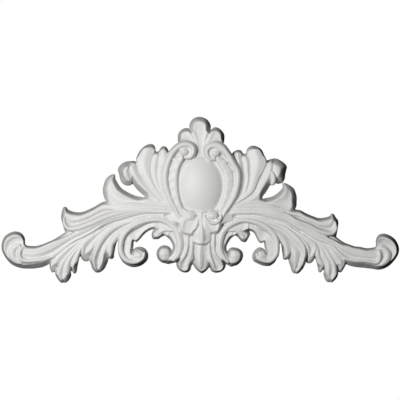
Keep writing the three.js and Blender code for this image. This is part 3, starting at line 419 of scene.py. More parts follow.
# Cap leaf over the foot of the frame
leaf(
    "cap_root", "dome", once=True, free=(2, 2), drop=3, spread=0,
    cuts=(
        (8, -31, -8, -31, 22), (5, -38, -5, -38, 22.3), (3, -46, -4, -46, 22),
    ),
)
leaf(
    "cap_mid", "ridge", once=True, slopes=(2.4, 2.4), free=(2, 2), drop=6.5, spread=0,
    tip=(-1, -70.2, 21.5),
    cuts=(
        (0.5, -43, -2.5, -43, 22.5), (4.5, -50, -6.5, -50, 23.3), (9, -56, -11, -56, 23.8),
        (10, -60, -12.8, -60, 23.6),
    ),
)
leaf(
    "cap_side", "dish", slopes=(1.6, 1.6), free=(2, 2), drop=5, spread=0, tip=(14.8, -58.6, 22.3),
    cuts=(
        (14, -33, 0, -40, 22.3), (22, -39, 0.8, -45, 23), (25, -45.5, 3.2, -50.5, 23.6),
        (24, -51.5, 7.5, -55, 23.4),
    ),
)
leaf(
    "cap_small", "boss", once=True, slopes=(1.6, 1.6), free=(2, 2), drop=3, spread=0,
    start=(-13.2, -29.3, 21), tip=(-13.2, -40.4, 23.8),
    cuts=(
        (-6.6, -34.8, -19.9, -34.8, 25.2),
    ),
)
leaf(
    "cap_fold", "boss", once=True, slopes=(1.1, 1.1), free=(2, 2), drop=2, spread=0,
    start=(12.8, -29.3, 20.5), tip=(12.6, -41.3, 22.8),
    cuts=(
        (19.5, -35.5, 6, -35.5, 24),
    ),
)
rib(
    "cap_rim", "dome", once=True,
    line=(
        (-4.2, -34.5, 2, 23.3), (-5.6, -39.4, 2.8, 24.3), (-9.6, -43, 3.2, 24.9),
        (-14.4, -44.2, 3.4, 25), (-19.3, -43, 3.2, 24.7), (-23, -38.5, 2.8, 23.6),
        (-23, -33, 1.5, 21.5),
    ),
)
# Pendant leaves
leaf(
    "pendant_mid", "cushion", once=True, free=(0.35, 0.35), spread=0, point=0.8, tip=(-1, -102.8, 12),
    cuts=(
        (5, -58, -6, -58, 14), (8, -74, -9, -74, 15.5), (9.5, -89, -10.8, -90, 15),
    ),
)
leaf(
    "pendant_almond", "dome", once=True, free=(2, 2), drop=5, spread=0, point=0.8,
    tip=(0.3, -98, 14.5),
    cuts=(
        (3.5, -66, -2.5, -66, 16.5), (7.2, -79, -4.7, -79, 18), (6.4, -89, -4.2, -89, 17.6),
    ),
)
leaf(
    "pendant_side", "hollow", free=(0.78, 0.72), spread=0, tip=(20.5, -101.5, 12),
    cuts=(
        (19, -48, 5, -50, 15.5), (18.3, -60, 7, -62, 15.5), (19, -71, 8, -74, 15.3),
        (23.5, -82, 9, -88, 15.3), (28.8, -91, 11.5, -95.5, 14.5),
    ),
)
rib(
    "pendant_rib1", "dome",
    line=(
        (16.5, -48, 4, 17), (15.5, -60, 4.5, 17.8), (16, -71, 4.5, 17.4), (18.8, -81, 4, 17),
        (24.5, -90, 2, 15.3),
    ),
)
rib(
    "pendant_rib2", "dome",
    line=(
        (10.5, -56, 4, 17.5), (10.5, -72, 4, 17), (12.5, -84, 4, 16.5), (16, -93.5, 2, 15),
    ),
)
leaf(
    "ground8", "flat", free=(0.1, 0.1), spread=0, tip=(41, -38, 15.5),
    cuts=(
        (16, -30, 16, -52, 20.5), (22, -29, 22, -51, 20.3), (28, -28, 28, -48, 18.6),
        (34, -29, 34, -46, 17),
    ),
)
# Ground that closes the gaps between leaves
leaf(
    "ground1", "flat", free=(0, 0), spread=0, tip=(195, -85, 6.5),
    cuts=(
        (10, -44, 10, -24, 12.5), (28, -44, 28, -22, 12.5), (46, -42, 48, -16, 12.5),
        (64, -40, 70, -18, 12), (82, -40, 95, -21, 11), (115, -50, 120, -30, 10),
        (140, -66, 150, -50, 9), (160, -82, 185, -72, 7.5),
    ),
)
leaf(
    "ground2", "flat", free=(0, 0), spread=0, tip=(56, 40, 8.5),
    cuts=(
        (44, -20, 34, -26, 12.5), (60, 0, 44, 0, 11.5), (67, 22, 46, 24, 10.5),
    ),
)
leaf(
    "ground3", "flat", free=(0, 0), spread=0, tip=(117, -92, 7),
    cuts=(
        (60, -36, 30, -44, 12.5), (95, -42, 84, -54, 10.5), (115, -55, 106, -72, 10),
    ),
)
leaf(
    "ground4", "flat", free=(0, 0), spread=0, tip=(159, -106, 6.5),
    cuts=(
        (130, -54, 122, -60, 10), (150, -68, 142, -82, 9), (164, -86, 150, -95, 8),
    ),
)
leaf(
    "ground5", "flat", once=True, free=(0, 0), spread=0, tip=(0, -94, 7.5),
    cuts=(
        (31, -40, -31, -40, 16), (27, -52, -27, -52, 15.5), (25, -62, -25, -62, 14.5),
        (23, -74, -23, -74, 12.5),
    ),
)
leaf(
    "ground6", "flat", once=True, free=(0, 0), spread=0, tip=(0, 46, 9.5),
    cuts=(
        (30, -50, -30, -50, 14), (32, -30, -32, -30, 16), (38, 0, -38, 0, 16), (36, 24, -36, 24, 15.5),
    ),
)
leaf(
    "ground7", "flat", free=(2, 2), spread=0, tip=(222, -76, 11.5),
    cuts=(
        (186, -74, 188, -90, 11), (200, -73, 202, -90, 12), (207, -64, 213, -88, 12.5),
    ),
)

# The two halves were carved by hand and differ a little. A mark is a feature's place on the left
# half and on the right half, and the right half is the left one drawn over by the marks.
SHARED_MARKS = (
    (70, -14, 73, -15.5), (37.5, 39, 36, 36.5), (61, -81, 59.7, -82), (67, -72, 67, -72),
    (56, -51.5, 58, -53.5), (55.5, -62.5, 51.5, -66.5), (40, -61.4, 38, -60.5), (33, -70.5, 29.5, -72),
    (43, -70, 38.5, -73), (51.8, -80, 49, -82), (40, -91, 36, -94.5), (27, -88, 28, -91),
    (24.2, -72, 21.6, -72), (25.5, -60, 23, -60), (18, -66, 17.2, -66), (14.3, -58.5, 14, -56),
    (16, -40, 16, -40), (28.5, -97, 28.5, -98), (20, -101, 20, -101), (50, -41.5, 50, -42),
    (42, 8, 43.5, 8), (0, -30, 0, -30), (20, 40, 17, 38), (0, 60, 0, 60), (10, -94.5, 9, -95.5),
    (18.5, 65.6, 18.3, 66.7), (26.6, 58, 27.2, 57.5), (27, 57, 27.3, 57),
)
FAN_MARKS = (
    (97, 16, 100.3, 19), (85, 27.5, 86, 31.2), (80, 0, 84, 3), (90, 1.5, 94, 3), (75, 26, 77.5, 26.5),
    (75, 32, 73, 34), (59, 47, 61, 45.2), (50, 41, 49.5, 38.5), (43.3, 45.5, 44, 40.5),
    (57, 20, 56, 20), (62, -15, 71, -16),
)
SPRAY_MARKS = (
    (164, -60.2, 164, -67), (188, -69.8, 188, -72.2), (88.5, -92, 83.5, -92), (70, -94, 68.5, -92.5),
    (158, -48, 156.3, -53.5), (152, -55.5, 152, -61), (125, -26.3, 122, -33.3), (65, -16, 73, -18),
    (218, -75, 215.5, -78), (212.5, -80, 208.5, -83), (229, -75, 227.5, -78), (219, -56, 215, -58.5),
    (204.3, -70, 203.5, -72), (192, -96.8, 192, -96.5), (175, -65.5, 175, -70.5),
    (153.5, -57, 153, -62), (160.3, -26.5, 154.5, -34.5), (162.3, -38, 159.5, -44),
    (144, -31.3, 140, -38), (110, -18.5, 109, -28), (102.5, 11.5, 97.5, 1), (114.2, -6, 111.3, -16),
    (92, -4, 90, -8.5), (173.5, -101, 163, -101), (161, -113.3, 151, -112.7),
    (147, -102, 138.5, -100.5), (141, -84, 133, -86), (135.5, -88, 127, -90.5),
    (121, -101.3, 111.5, -102.5), (104, -85, 97.5, -86), (98.5, -76, 93, -79.5), (94, -87, 88.5, -87),
    (77, -95.5, 76, -94), (79, -66, 74, -67), (73.5, -65, 67.5, -66.5), (122, -47, 122, -50),
    (98, -37.5, 98, -38), (120, -75, 119, -74), (150, -69, 150, -70),
)
FAN = ("curl_leaf", "curl_head", "curl_roll", "broad_leaf", "narrow_leaf1", "narrow_leaf2", "ground2")
MARK_REACH = 5.0  # within this a mark's pull is nearly even
MARK_FALL = 1.6
AXIS_REACH = 8.0  # the pull fades out over this towards the centre line

CABOCHON = dict(centre=(0.0, -1.5), half_width=25.7, half_height=33.6, depth=12.2, crown=24.4)
LIP = 1.5  # upright edge at the wall, below the bevels
FREE_BEFORE = 0.10  # a bevel starts to run down this share of the length before the leaf is free
FREE_RUN = 0.14  # and it is down after this share of the length
SLOPE_RUN = 0.6  # share of the length over which a bevel goes from its first slope to its second
SPREAD_FADE = 3.0  # how fast a leaf's spread goes out towards where it is free
FAR = 99.0  # stands for an end that a leaf doesn't have
GROOVE_FADE = 0.35  # share of a leaf's width over which its hollow closes at the tip
GADROONS = 7
GADROON_PITCH = 10.2
GADROON_WIDTH = 9.8
# Out from the band's line, and above its crest
GADROON_CREST = ((-2, -0.4), (1, 0), (3.6, -0.6), (6.4, -2.6))
RIB_SKIRT = 0.6  # a rib's edge lies this share of its width below its crest
RIB_RISE = 3.0  # and rises from there by this, for one across
BEHIND = -4.0  # the carvings are first run on behind the wall and then cut off at it
BACK_FACING = 0.9  # a face that looks into the wall by more than this belongs to the flat back

# Steps between two cuts, across a carving and round a tip
STEPS_ALONG = 8
STEPS_ACROSS = 16
STEPS_AT_TIP = 12


def ease(x):
    """A smooth step from 0 to 1."""
    x = np.clip(x, 0.0, 1.0)
    return x * x * (3.0 - 2.0 * x)


def curve(points, steps):
    """A smooth line through the points, which are rows of numbers, with that many steps between two."""
    points = np.asarray(points, float)
    if len(points) == 1:
        return points
    ends = np.vstack([2 * points[0] - points[1], points, 2 * points[-1] - points[-2]])
    t = (np.arange(steps) / steps)[:, None]
    parts = []
    for before, here, there, after in zip(ends, ends[1:], ends[2:], ends[3:]):
        parts.append(0.5 * (2 * here + (there - before) * t
                            + (2 * before - 5 * here + 4 * there - after) * t**2
                            + (3 * here - before - 3 * there + after) * t**3))
    return np.vstack(parts + [points[-1]])


def section_height(section, across):
    """Height of a section at the places across it, as a share of its width."""
    places, heights = np.array(SECTIONS[section], float).T
    index = np.clip(np.searchsorted(places, across, "right") - 1, 0, len(places) - 2)
    share = ease((across - places[index]) / (places[index + 1] - places[index]))
    return heights[index] * (1 - share) + heights[index + 1] * share


def lengths_along(points):
    """Run of a line from its first point to each."""
    return np.concatenate([[0.0], np.cumsum(np.linalg.norm(np.diff(points, axis=0), axis=1))])


def directions(points):
    """The way a line goes at each of its points, as a length of one."""
    along = np.gradient(points, axis=0)
    return along / np.linalg.norm(along, axis=1)[:, None]


def round_end(row, end, point):
    """Rows that close a leaf from its last row to its tip, as half an ellipse or more pointed."""
    first, second, crest = row[:2], row[2:4], row[4]
    middle, half = (first + second) / 2, (second - first) / 2
    rows = []
    for turn in np.arange(1, STEPS_AT_TIP + 1) / STEPS_AT_TIP * math.pi / 2:
        centre = middle + (np.array(end[:2]) - middle) * math.sin(turn)
        narrow = max(math.cos(turn), 0.0) ** (2 * point)
        height = crest + (end[2] - crest) * math.sin(turn)
        rows.append([*(centre - half * narrow), *(centre + half * narrow), height])
    return np.array(rows)


def leaf_front(spec):
    """Rows of points across a leaf, each X, Z and height."""
    rows = curve(spec["cuts"], STEPS_ALONG)
    if spec["start"]:
        rows = np.vstack([round_end(rows[0], spec["start"], 0.5)[::-1], rows])
    if spec["tip"]:
        rows = np.vstack([rows, round_end(rows[-1], spec["tip"], spec["point"])])
    run = lengths_along((rows[:, 0:2] + rows[:, 2:4]) / 2)
    t = run / run[-1]
    to_tip = np.full(len(rows), FAR)
    if spec["tip"]:
        to_tip = np.minimum(to_tip, run[-1] - run)
    if spec["start"]:
        to_tip = np.minimum(to_tip, run)
    last_free = max(*spec["free"], 1e-6)
    widen = spec["spread"] * np.clip((last_free - t) / last_free * SPREAD_FADE, 0, 1)[:, None]
    across = rows[:, 2:4] - rows[:, 0:2]
    across = across / np.maximum(np.linalg.norm(across, axis=1), 1e-6)[:, None]
    first, second = rows[:, 0:2] - across * widen, rows[:, 2:4] + across * widen
    width = np.linalg.norm(second - first, axis=1)[:, None]
    crest = rows[:, 4:5]
    u = np.linspace(0.0, 1.0, STEPS_ACROSS + 1)
    closing = ease(to_tip / np.maximum(GROOVE_FADE * width[:, 0], LIP))[:, None]
    height = crest + section_height(spec["section"], u)[None, :] * width * closing
    for side, inset in enumerate((u, 1 - u)):
        free = spec["free"][side]
        alone = ease((t - free + FREE_BEFORE) / FREE_RUN)[:, None] if free > 0 else 1.0
        foot = (crest - spec["drop"]) * (1 - alone) + LIP * alone
        edge = 1 / np.hypot(1 / np.maximum(inset * width, 1e-3), 1 / np.maximum(to_tip, 1e-3)[:, None])
        rooted, later = np.broadcast_to(spec["slopes"][side], 2)
        slope = rooted + (later - rooted) * ease(t / SLOPE_RUN)[:, None]
        height = np.minimum(height, foot + slope * edge)
    flat = first[:, None, :] * (1 - u)[None, :, None] + second[:, None, :] * u[None, :, None]
    return np.dstack([flat, height])


def rib_front(spec):
    """Rows of points across a rib, each X, Z and height."""
    rows = curve(spec["line"], STEPS_ALONG)
    along = directions(rows[:, 0:2])
    normal = np.stack([-along[:, 1], along[:, 0]], 1)
    run = lengths_along(rows[:, 0:2])
    to_end = np.minimum(run, run[-1] - run)
    half = rows[:, 2] / 2
    half = np.where(to_end < half, np.sqrt(np.maximum(half**2 - (half - to_end) ** 2, 0.0)), half)
    width = 2 * half[:, None]
    u = np.linspace(0.0, 1.0, STEPS_ACROSS + 1)
    skirt = (RIB_RISE * np.minimum(u, 1 - u) - RIB_SKIRT)[None, :] * width
    height = rows[:, 3:4] + np.minimum(section_height(spec["section"], u)[None, :] * width, skirt)
    side = (1 - 2 * u)[None, :, None] * half[:, None, None]
    return np.dstack([rows[:, None, 0:2] + normal[:, None, :] * side, height])


def to_right(name, front):
    """The same carving on the right half."""
    marks = np.array(SHARED_MARKS + (FAN_MARKS if name in FAN else SPRAY_MARKS), float)
    flat = front[..., 0:2]
    gap = ((flat[..., None, :] - marks[:, 0:2]) ** 2).sum(-1)
    weight = (gap + MARK_REACH**2) ** -MARK_FALL
    move = (weight[..., None] * (marks[:, 2:4] - marks[:, 0:2])).sum(-2) / weight.sum(-1)[..., None]
    share = np.clip(flat[..., 0:1] / AXIS_REACH, 0, 1)
    return np.dstack([flat + move * share, front[..., 2]])


def gadroons():
    """The row of lobes across the frame's band, each a short rib from the band's ridge to its groove."""
    band = next(spec for spec in CARVINGS if spec["name"] == "bead_band")
    rows = curve(band["line"], STEPS_ALONG)
    along = directions(rows[:, 0:2])
    run = lengths_along(rows[:, 0:2])
    for number in range(GADROONS):
        place = GADROON_PITCH * (number + 0.5)
        x, z, height = (np.interp(place, run, rows[:, column]) for column in (0, 1, 3))
        out_x, out_z = np.interp(place, run, along[:, 1]), -np.interp(place, run, along[:, 0])
        line = [(x + out_x * out, z + out_z * out, GADROON_WIDTH, height + rise)
                for out, rise in GADROON_CREST]
        yield dict(name="gadroon", section="cushion", line=line, once=False)


def fronts():
    """The front of every carving on both halves, with X to the right."""
    for spec in (*CARVINGS, *gadroons()):
        front = rib_front(spec) if "line" in spec else leaf_front(spec)
        yield front * (-1, 1, 1)
        if not spec["once"]:
            yield to_right(spec["name"], front)


# Making the casting

def to_mesh(bm, name):
    """A new mesh from a bmesh, which is freed."""
    mesh = bpy.data.meshes.new(name)
    bm.to_mesh(mesh)
    bm.free()
    return mesh


def carving_mesh(front, scale):
    """A closed body: a grid bent to the front of a carving and run back to behind the wall."""
    rows, columns = front.shape[0] - 1, front.shape[1] - 1
    bm = bmesh.new()
    grid = bmesh.ops.create_grid(bm, x_segments=columns, y_segments=rows, size=0.5)["verts"]
    for v in grid:
        x, z, height = front[round((v.co.y + 0.5) * rows), round((v.co.x + 0.5) * columns)]
        v.co = (x * scale, -height * MM, z * scale)
    extruded = bmesh.ops.extrude_face_region(bm, geom=bm.faces[:])["geom"]
    for item in extruded:
        if isinstance(item, bmesh.types.BMVert):
            item.co.y = -BEHIND * MM
    bmesh.ops.remove_doubles(bm, verts=bm.verts[:], dist=1e-6)
    bmesh.ops.recalc_face_normals(bm, faces=bm.faces[:])
    return to_mesh(bm, "carving")


def cabochon_mesh():
    """The cabochon, as a whole ellipsoid whose front stands out of the carvings."""
    bm = bmesh.new()
    x, z = CABOCHON["centre"]
    place = Matrix.Translation((x * MM, (CABOCHON["depth"] - CABOCHON["crown"]) * MM, z * MM))
    size = (CABOCHON["half_width"] * MM, CABOCHON["depth"] * MM, CABOCHON["half_height"] * MM, 1)
    bmesh.ops.create_uvsphere(bm, u_segments=96, v_segments=48, radius=1,
                              matrix=place @ Matrix.Diagonal(size))
    return to_mesh(bm, "cabochon")


def with_modifier(mesh, kind, **settings):
    """The mesh as a modifier leaves it."""
    holder = bpy.data.objects.new("holder", mesh)
    bpy.context.scene.collection.objects.link(holder)
    modifier = holder.modifiers.new(kind.title(), kind)
    for key, value in settings.items():
        setattr(modifier, key, value)
    graph = bpy.context.evaluated_depsgraph_get()
    made = bpy.data.meshes.new_from_object(holder.evaluated_get(graph))
    bpy.data.objects.remove(holder)
    bpy.data.meshes.remove(mesh)
    return made


def joined(first, others):
    """One closed mesh of several that overlap."""
    group = bpy.data.collections.new("carvings")
    holders = [bpy.data.objects.new("carving", mesh) for mesh in others]
    for holder in holders:
        group.objects.link(holder)
    made = with_modifier(first, "BOOLEAN", operation="UNION", operand_type="COLLECTION",
                         collection=group, solver="MANIFOLD")
    for holder, mesh in zip(holders, others):
        bpy.data.objects.remove(holder)
        bpy.data.meshes.remove(mesh)
    bpy.data.collections.remove(group)
    return made


def mark_groove_shade(mesh, shape):
    """Writes how far each place lies below what is round it, as the mask for the shade painted into the
    grooves.
    """
    count = len(mesh.vertices)
    spots = np.zeros(count * 3, np.float32)
    normals = np.zeros(count * 3, np.float32)
    mesh.vertices.foreach_get("co", spots)
    mesh.vertex_normals.foreach_get("vector", normals)
    spots, normals = spots.reshape(-1, 3), normals.reshape(-1, 3)
    low = spots.min(0)
    cell = 1.0 * MM
    column = ((spots[:, 0] - low[0]) / cell).astype(int)
    row = ((spots[:, 2] - low[2]) / cell).astype(int)
    size = (row.max() + 1, column.max() + 1)
    front = normals[:, 1] < -0.5
    total, number = np.zeros(size), np.zeros(size)
    np.add.at(total, (row[front], column[front]), -spots[front, 1])
    np.add.at(number, (row[front], column[front]), 1.0)
    reach = shape.groove_reach / cell
    steps = np.arange(-int(3 * reach), int(3 * reach) + 1)
    bell = np.exp(-0.5 * (steps / reach) ** 2)
    for axis in (0, 1):
        total = np.apply_along_axis(lambda line: np.convolve(line, bell, "same"), axis, total)
        number = np.apply_along_axis(lambda line: np.convolve(line, bell, "same"), axis, number)
    around = total / np.maximum(number, 1e-9)
    below = (around[row, column] + spots[:, 1]) / shape.groove_depth
    attribute = mesh.attributes.new("groove", "FLOAT", "POINT")
    attribute.data.foreach_set("value", ease(below).astype(np.float32))


def casting_mesh(shape):
    """All the carvings and the cabochon joined into one closed casting with a flat back."""
    plan = list(fronts())
    span = max(f[..., 0].max() for f in plan) - min(f[..., 0].min() for f in plan)
    scale = (SOLID_BOX[1].x - SOLID_BOX[0].x) / span
    mesh = joined(cabochon_mesh(), [carving_mesh(front, scale) for front in plan])
    voxel = shape.fineness * 1
    mesh = with_modifier(mesh, "REMESH", mode="VOXEL", voxel_size=voxel, adaptivity=0)

    bm = bmesh.new()
    bm.from_mesh(mesh)
    bpy.data.meshes.remove(mesh)
    for _ in range(shape.softening):
        bmesh.ops.smooth_vert(bm, verts=bm.verts[:], factor=0.5,
                              use_axis_x=True, use_axis_y=True, use_axis_z=True)
    cut = bmesh.ops.bisect_plane(bm, geom=bm.verts[:] + bm.edges[:] + bm.faces[:], dist=1e-7,
                                 plane_co=(0, 0, 0), plane_no=(0, 1, 0), clear_outer=True)["geom_cut"]
    rim = [e for e in cut if isinstance(e, bmesh.types.BMEdge)]
    bmesh.ops.triangle_fill(bm, use_beauty=False, edges=rim, normal=(0, 1, 0))
    bmesh.ops.triangulate(bm, faces=bm.faces[:])
    share = min(1.0, shape.most_faces / len(bm.faces))
    mesh = with_modifier(to_mesh(bm, "casting"), "DECIMATE", decimate_type="COLLAPSE", ratio=share)
    # The groove mask that the painted shade follows.
    mark_groove_shade(mesh, shape)
    for face in mesh.polygons:
        face.use_smooth = face.normal.y < BACK_FACING
    return mesh


# Finishes

ROUGHNESS_SWING = 0.07


def link(tree, from_node, from_socket, to_node, to_socket):
    tree.links.new(from_node.outputs[from_socket], to_node.inputs[to_socket])


def white_paint(paint):
    """Matt white primer over a cast body: a fine stipple, slow unevenness, and painted shade, a darker
    grey that stands in for shade in the grooves and down the walls.
    """
    material = bpy.data.materials.new("white_cast_paint")
    material.use_nodes = True
    tree = material.node_tree
    shader = tree.nodes["Principled BSDF"]
    shader.inputs["IOR"].default_value = 1.46
    place = tree.nodes.new("ShaderNodeTexCoord")

    cloud = tree.nodes.new("ShaderNodeTexNoise")
    cloud.inputs["Scale"].default_value = 22
    cloud.inputs["Detail"].default_value = 4
    stipple = tree.nodes.new("ShaderNodeTexNoise")
    stipple.inputs["Scale"].default_value = 950
    stipple.inputs["Detail"].default_value = 3
    waves = tree.nodes.new("ShaderNodeTexNoise")
    waves.inputs["Scale"].default_value = 120
    waves.inputs["Detail"].default_value = 2
    for noise in (cloud, stipple, waves):
        link(tree, place, "Object", noise, "Vector")

    # Painted shade: the groove mask mixes the paint towards a dark grey in grooves and down the walls,
    # standing in for the shade there.
    groove = tree.nodes.new("ShaderNodeAttribute")
    groove.attribute_name = "groove"
    uneven = tree.nodes.new("ShaderNodeMix")
    uneven.data_type = "RGBA"
    uneven.inputs["A"].default_value = (*paint.colour, 1)
    uneven.inputs["B"].default_value = (*paint.thin_colour, 1)
    link(tree, cloud, "Fac", uneven, "Factor")
    depth = tree.nodes.new("ShaderNodeMath")
    depth.operation = "MULTIPLY"
    depth.inputs[1].default_value = paint.groove_shade_share
    link(tree, groove, "Fac", depth, 0)
    groove_shaded = tree.nodes.new("ShaderNodeMix")
    groove_shaded.data_type = "RGBA"
    groove_shaded.inputs["B"].default_value = (*paint.groove_shade_colour, 1)
    tree.links.new(uneven.outputs["Result"], groove_shaded.inputs["A"])
    link(tree, depth, 0, groove_shaded, "Factor")
    tree.links.new(groove_shaded.outputs["Result"], shader.inputs["Base Color"])

    gloss = tree.nodes.new("ShaderNodeMapRange")
    gloss.inputs["To Min"].default_value = paint.roughness - ROUGHNESS_SWING
    gloss.inputs["To Max"].default_value = paint.roughness + ROUGHNESS_SWING
    link(tree, cloud, "Fac", gloss, "Value")
    link(tree, gloss, "Result", shader, "Roughness")

    height = tree.nodes.new("ShaderNodeMath")
    height.operation = "MULTIPLY_ADD"
    height.inputs[1].default_value = 3.0
    link(tree, waves, "Fac", height, 0)
    link(tree, stipple, "Fac", height, 2)
    bump = tree.nodes.new("ShaderNodeBump")
    bump.inputs["Strength"].default_value = paint.stipple
    bump.inputs["Distance"].default_value = 0.0002
    link(tree, height, 0, bump, "Height")
    link(tree, bump, "Normal", shader, "Normal")
    return material


def floor_finish(stage):
    """Pale matt floor, a little uneven."""
    material = bpy.data.materials.new("pale_floor")
    material.use_nodes = True
    tree = material.node_tree
    shader = tree.nodes["Principled BSDF"]
    place = tree.nodes.new("ShaderNodeTexCoord")
    mottle = tree.nodes.new("ShaderNodeTexNoise")
    mottle.inputs["Scale"].default_value = 3
    tint = tree.nodes.new("ShaderNodeMix")
    tint.data_type = "RGBA"
    tint.inputs["A"].default_value = (*stage.floor_colour, 1)
    tint.inputs["B"].default_value = (*(0.97 * c for c in stage.floor_colour), 1)
    link(tree, place, "Object", mottle, "Vector")
    link(tree, mottle, "Fac", tint, "Factor")
    tree.links.new(tint.outputs["Result"], shader.inputs["Base Color"])
    shader.inputs["Roughness"].default_value = 0.9
    return material


# Settings

class OnlayShape(bpy.types.PropertyGroup):
    fineness: FloatProperty(
        name="Fineness", description="Edge of the cells that the joined carvings are made of",
        default=0.0006, min=0.0003, max=0.003, precision=5, unit="LENGTH")
    softening: IntProperty(
        name="Softening", description="Passes that round the edges as paint and casting do",
        default=2, min=0, max=10)
    most_faces: IntProperty(
        name="Most Triangles", description="The casting is thinned to this many triangles",
        default=190000, min=10000, max=199000)
    # The reach and depth shape the groove mask that the painted shade follows.
    groove_reach: FloatProperty(
        name="Groove Reach", description="How far round a place its surroundings are taken",
        default=0.0035, min=0.001, max=0.01, precision=4, unit="LENGTH")
    groove_depth: FloatProperty(
        name="Groove Depth", description="Depth below the surroundings at which a groove is full",
        default=0.004, min=0.001, max=0.01, precision=4, unit="LENGTH")


class OnlayPaint(bpy.types.PropertyGroup):
    colour: FloatVectorProperty(
        name="Paint", description="Colour of the white paint",
        default=(0.83, 0.825, 0.81), min=0, max=1, size=3, subtype="COLOR")
    thin_colour: FloatVectorProperty(
        name="Thin Paint", description="Colour where the paint lies thinner",
        default=(0.80, 0.795, 0.775), min=0, max=1, size=3, subtype="COLOR")
    # Painted shade: this dark grey, mixed in by the groove mask up to the share below, stands in for
    # shade in grooves and on walls.
    groove_shade_colour: FloatVectorProperty(
        name="Groove", description="Colour of the paint that gathers in the grooves",
        default=(0.40, 0.39, 0.375), min=0, max=1, size=3, subtype="COLOR")
    groove_shade_share: FloatProperty(
        name="Groove Share", description="How far the grooves take on their own colour",
        default=0.5, min=0, max=1, subtype="FACTOR")
    roughness: FloatProperty(
        name="Roughness", description="Mattness of the paint",
        default=0.52, min=0.1, max=0.9, subtype="FACTOR")
    stipple: FloatProperty(
        name="Stipple", description="Strength of the fine grain of the casting",
        default=0.25, min=0, max=1, subtype="FACTOR")


# The lights' places from the point looked at, and their diameters, in metres
KEY_OFFSET = (-0.56, -1.30, 0.20)
KEY_SIZE = 0.28
FILL_OFFSET = (0.3, -2.0, 0.4)
FILL_SIZE = 1.2


class OnlayStage(bpy.types.PropertyGroup):
    target: FloatVectorProperty(
        name="Looked At", description="Point of the casting in the middle of the picture",
        default=(-0.00116, -0.003, -0.0173), size=3, precision=4, subtype="TRANSLATION", unit="LENGTH")
    picture_width: FloatProperty(
        name="Picture Width", description="Width that the picture shows at the casting",
        default=0.4623, min=0.1, max=2, precision=4, unit="LENGTH")
    camera_distance: FloatProperty(
        name="Camera Distance", description="From the camera to the casting",
        default=3.0, min=0.5, max=10, unit="LENGTH")
    key_power: FloatProperty(
        name="Key Light", description="Power of the large light at the upper left",
        default=17.6, min=0, max=1000, unit="POWER")
    fill_power: FloatProperty(
        name="Fill Light", description="Power of the weak light beside the camera",
        default=0.2, min=0, max=1000, unit="POWER")
    room_light: FloatProperty(
        name="Room Light", description="Strength of the light from all round",
        default=0.012, min=0, max=1)
    floor_drop: FloatProperty(
        name="Floor Drop", description="Height of the casting's lowest tip above the floor",
        default=1.1, min=0.1, max=5, unit="LENGTH")
    floor_size: FloatProperty(
        name="Floor Size", description="Side of the square floor",
        default=5.0, min=1, max=20, unit="LENGTH")
    floor_colour: FloatVectorProperty(
        name="Floor", description="Colour of the floor",
        default=(0.86, 0.86, 0.85), min=0, max=1, size=3, subtype="COLOR")


# Operators

class ONLAY_OT_casting(bpy.types.Operator):
    """Carve the onlay as one casting and paint it"""
    bl_idname = "onlay.casting"
    bl_label = "Casting"
    bl_options = {"REGISTER", "UNDO"}

    def execute(self, context):
        scene = context.scene
        casting = bpy.data.objects.new("carved_onlay", casting_mesh(scene.onlay_shape))
        scene.collection.objects.link(casting)
        casting.data.materials.append(white_paint(scene.onlay_paint))
        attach(casting, "root")
        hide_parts("scroll_onlay")
        return {"FINISHED"}


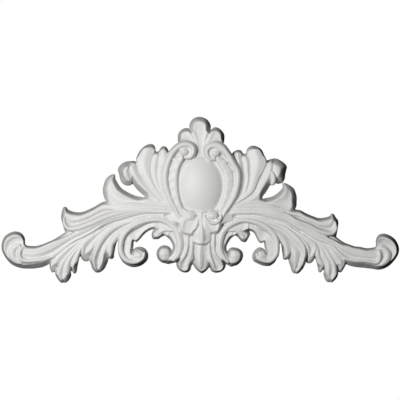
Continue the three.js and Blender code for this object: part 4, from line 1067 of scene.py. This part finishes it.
class ONLAY_OT_stage(bpy.types.Operator):
    """Add the floor, the lights and the camera"""
    bl_idname = "onlay.stage"
    bl_label = "Stage"
    bl_options = {"REGISTER", "UNDO"}

    def execute(self, context):
        scene, stage = context.scene, context.scene.onlay_stage
        self.add_floor(scene, stage)
        self.add_room(scene, stage)
        target = Vector(stage.target)
        self.add_light(scene, "key_light", target, KEY_OFFSET, KEY_SIZE, stage.key_power)
        self.add_light(scene, "fill_light", target, FILL_OFFSET, FILL_SIZE, stage.fill_power)
        camera = bpy.data.objects.new("camera", bpy.data.cameras.new("camera"))
        camera.data.lens = camera.data.sensor_width * stage.camera_distance / stage.picture_width
        camera.data.clip_end = 50
        camera.location = target - Vector((0, stage.camera_distance, 0))
        camera.rotation_euler = (math.pi / 2, 0, 0)
        scene.collection.objects.link(camera)
        scene.camera = camera
        scene.view_settings.view_transform = "Standard"
        return {"FINISHED"}

    def add_floor(self, scene, stage):
        bm = bmesh.new()
        level = SOLID_BOX[0].z - stage.floor_drop
        bmesh.ops.create_grid(bm, x_segments=8, y_segments=8, size=stage.floor_size / 2,
                              matrix=Matrix.Translation((0, 0, level)))
        floor = bpy.data.objects.new("floor", to_mesh(bm, "floor"))
        floor.data.materials.append(floor_finish(stage))
        floor.visible_diffuse = False
        scene.collection.objects.link(floor)

    def add_room(self, scene, stage):
        """A white surround to look at, and a weak even light from it."""
        room = bpy.data.worlds.new("room")
        room.use_nodes = True
        tree = room.node_tree
        seen = tree.nodes["Background"]
        seen.inputs["Color"].default_value = (1, 1, 1, 1)
        lit = tree.nodes.new("ShaderNodeBackground")
        lit.inputs["Strength"].default_value = stage.room_light
        path = tree.nodes.new("ShaderNodeLightPath")
        mix = tree.nodes.new("ShaderNodeMixShader")
        link(tree, path, "Is Camera Ray", mix, 0)
        link(tree, lit, 0, mix, 1)
        link(tree, seen, 0, mix, 2)
        link(tree, mix, 0, tree.nodes["World Output"], "Surface")
        scene.world = room

    def add_light(self, scene, name, target, offset, size, power):
        """A round light that faces the target."""
        light = bpy.data.lights.new(name, "AREA")
        light.shape = "DISK"
        light.size = size
        light.energy = power
        lamp = bpy.data.objects.new(name, light)
        lamp.location = target + Vector(offset)
        lamp.rotation_euler = (-Vector(offset)).to_track_quat("-Z", "Y").to_euler()
        scene.collection.objects.link(lamp)


class ONLAY_PT_panel(bpy.types.Panel):
    bl_label = "Scroll Onlay"
    bl_space_type = "VIEW_3D"
    bl_region_type = "UI"
    bl_category = "Onlay"

    def draw(self, context):
        for group in ("onlay_shape", "onlay_paint", "onlay_stage"):
            settings = getattr(context.scene, group)
            box = self.layout.box()
            for name in settings.bl_rna.properties.keys():
                if name not in ("rna_type", "name"):
                    box.prop(settings, name)
        for operator in (ONLAY_OT_casting, ONLAY_OT_stage):
            self.layout.operator(operator.bl_idname)


CLASSES = (OnlayShape, OnlayPaint, OnlayStage, ONLAY_OT_casting, ONLAY_OT_stage, ONLAY_PT_panel)


def register():
    for cls in CLASSES:
        bpy.utils.register_class(cls)
    bpy.types.Scene.onlay_shape = PointerProperty(type=OnlayShape)
    bpy.types.Scene.onlay_paint = PointerProperty(type=OnlayPaint)
    bpy.types.Scene.onlay_stage = PointerProperty(type=OnlayStage)


def unregister():
    del bpy.types.Scene.onlay_stage
    del bpy.types.Scene.onlay_paint
    del bpy.types.Scene.onlay_shape
    for cls in reversed(CLASSES):
        bpy.utils.unregister_class(cls)


def main():
    register()
    bpy.ops.onlay.casting()
    bpy.ops.onlay.stage()


if __name__ == "__main__":
    main()
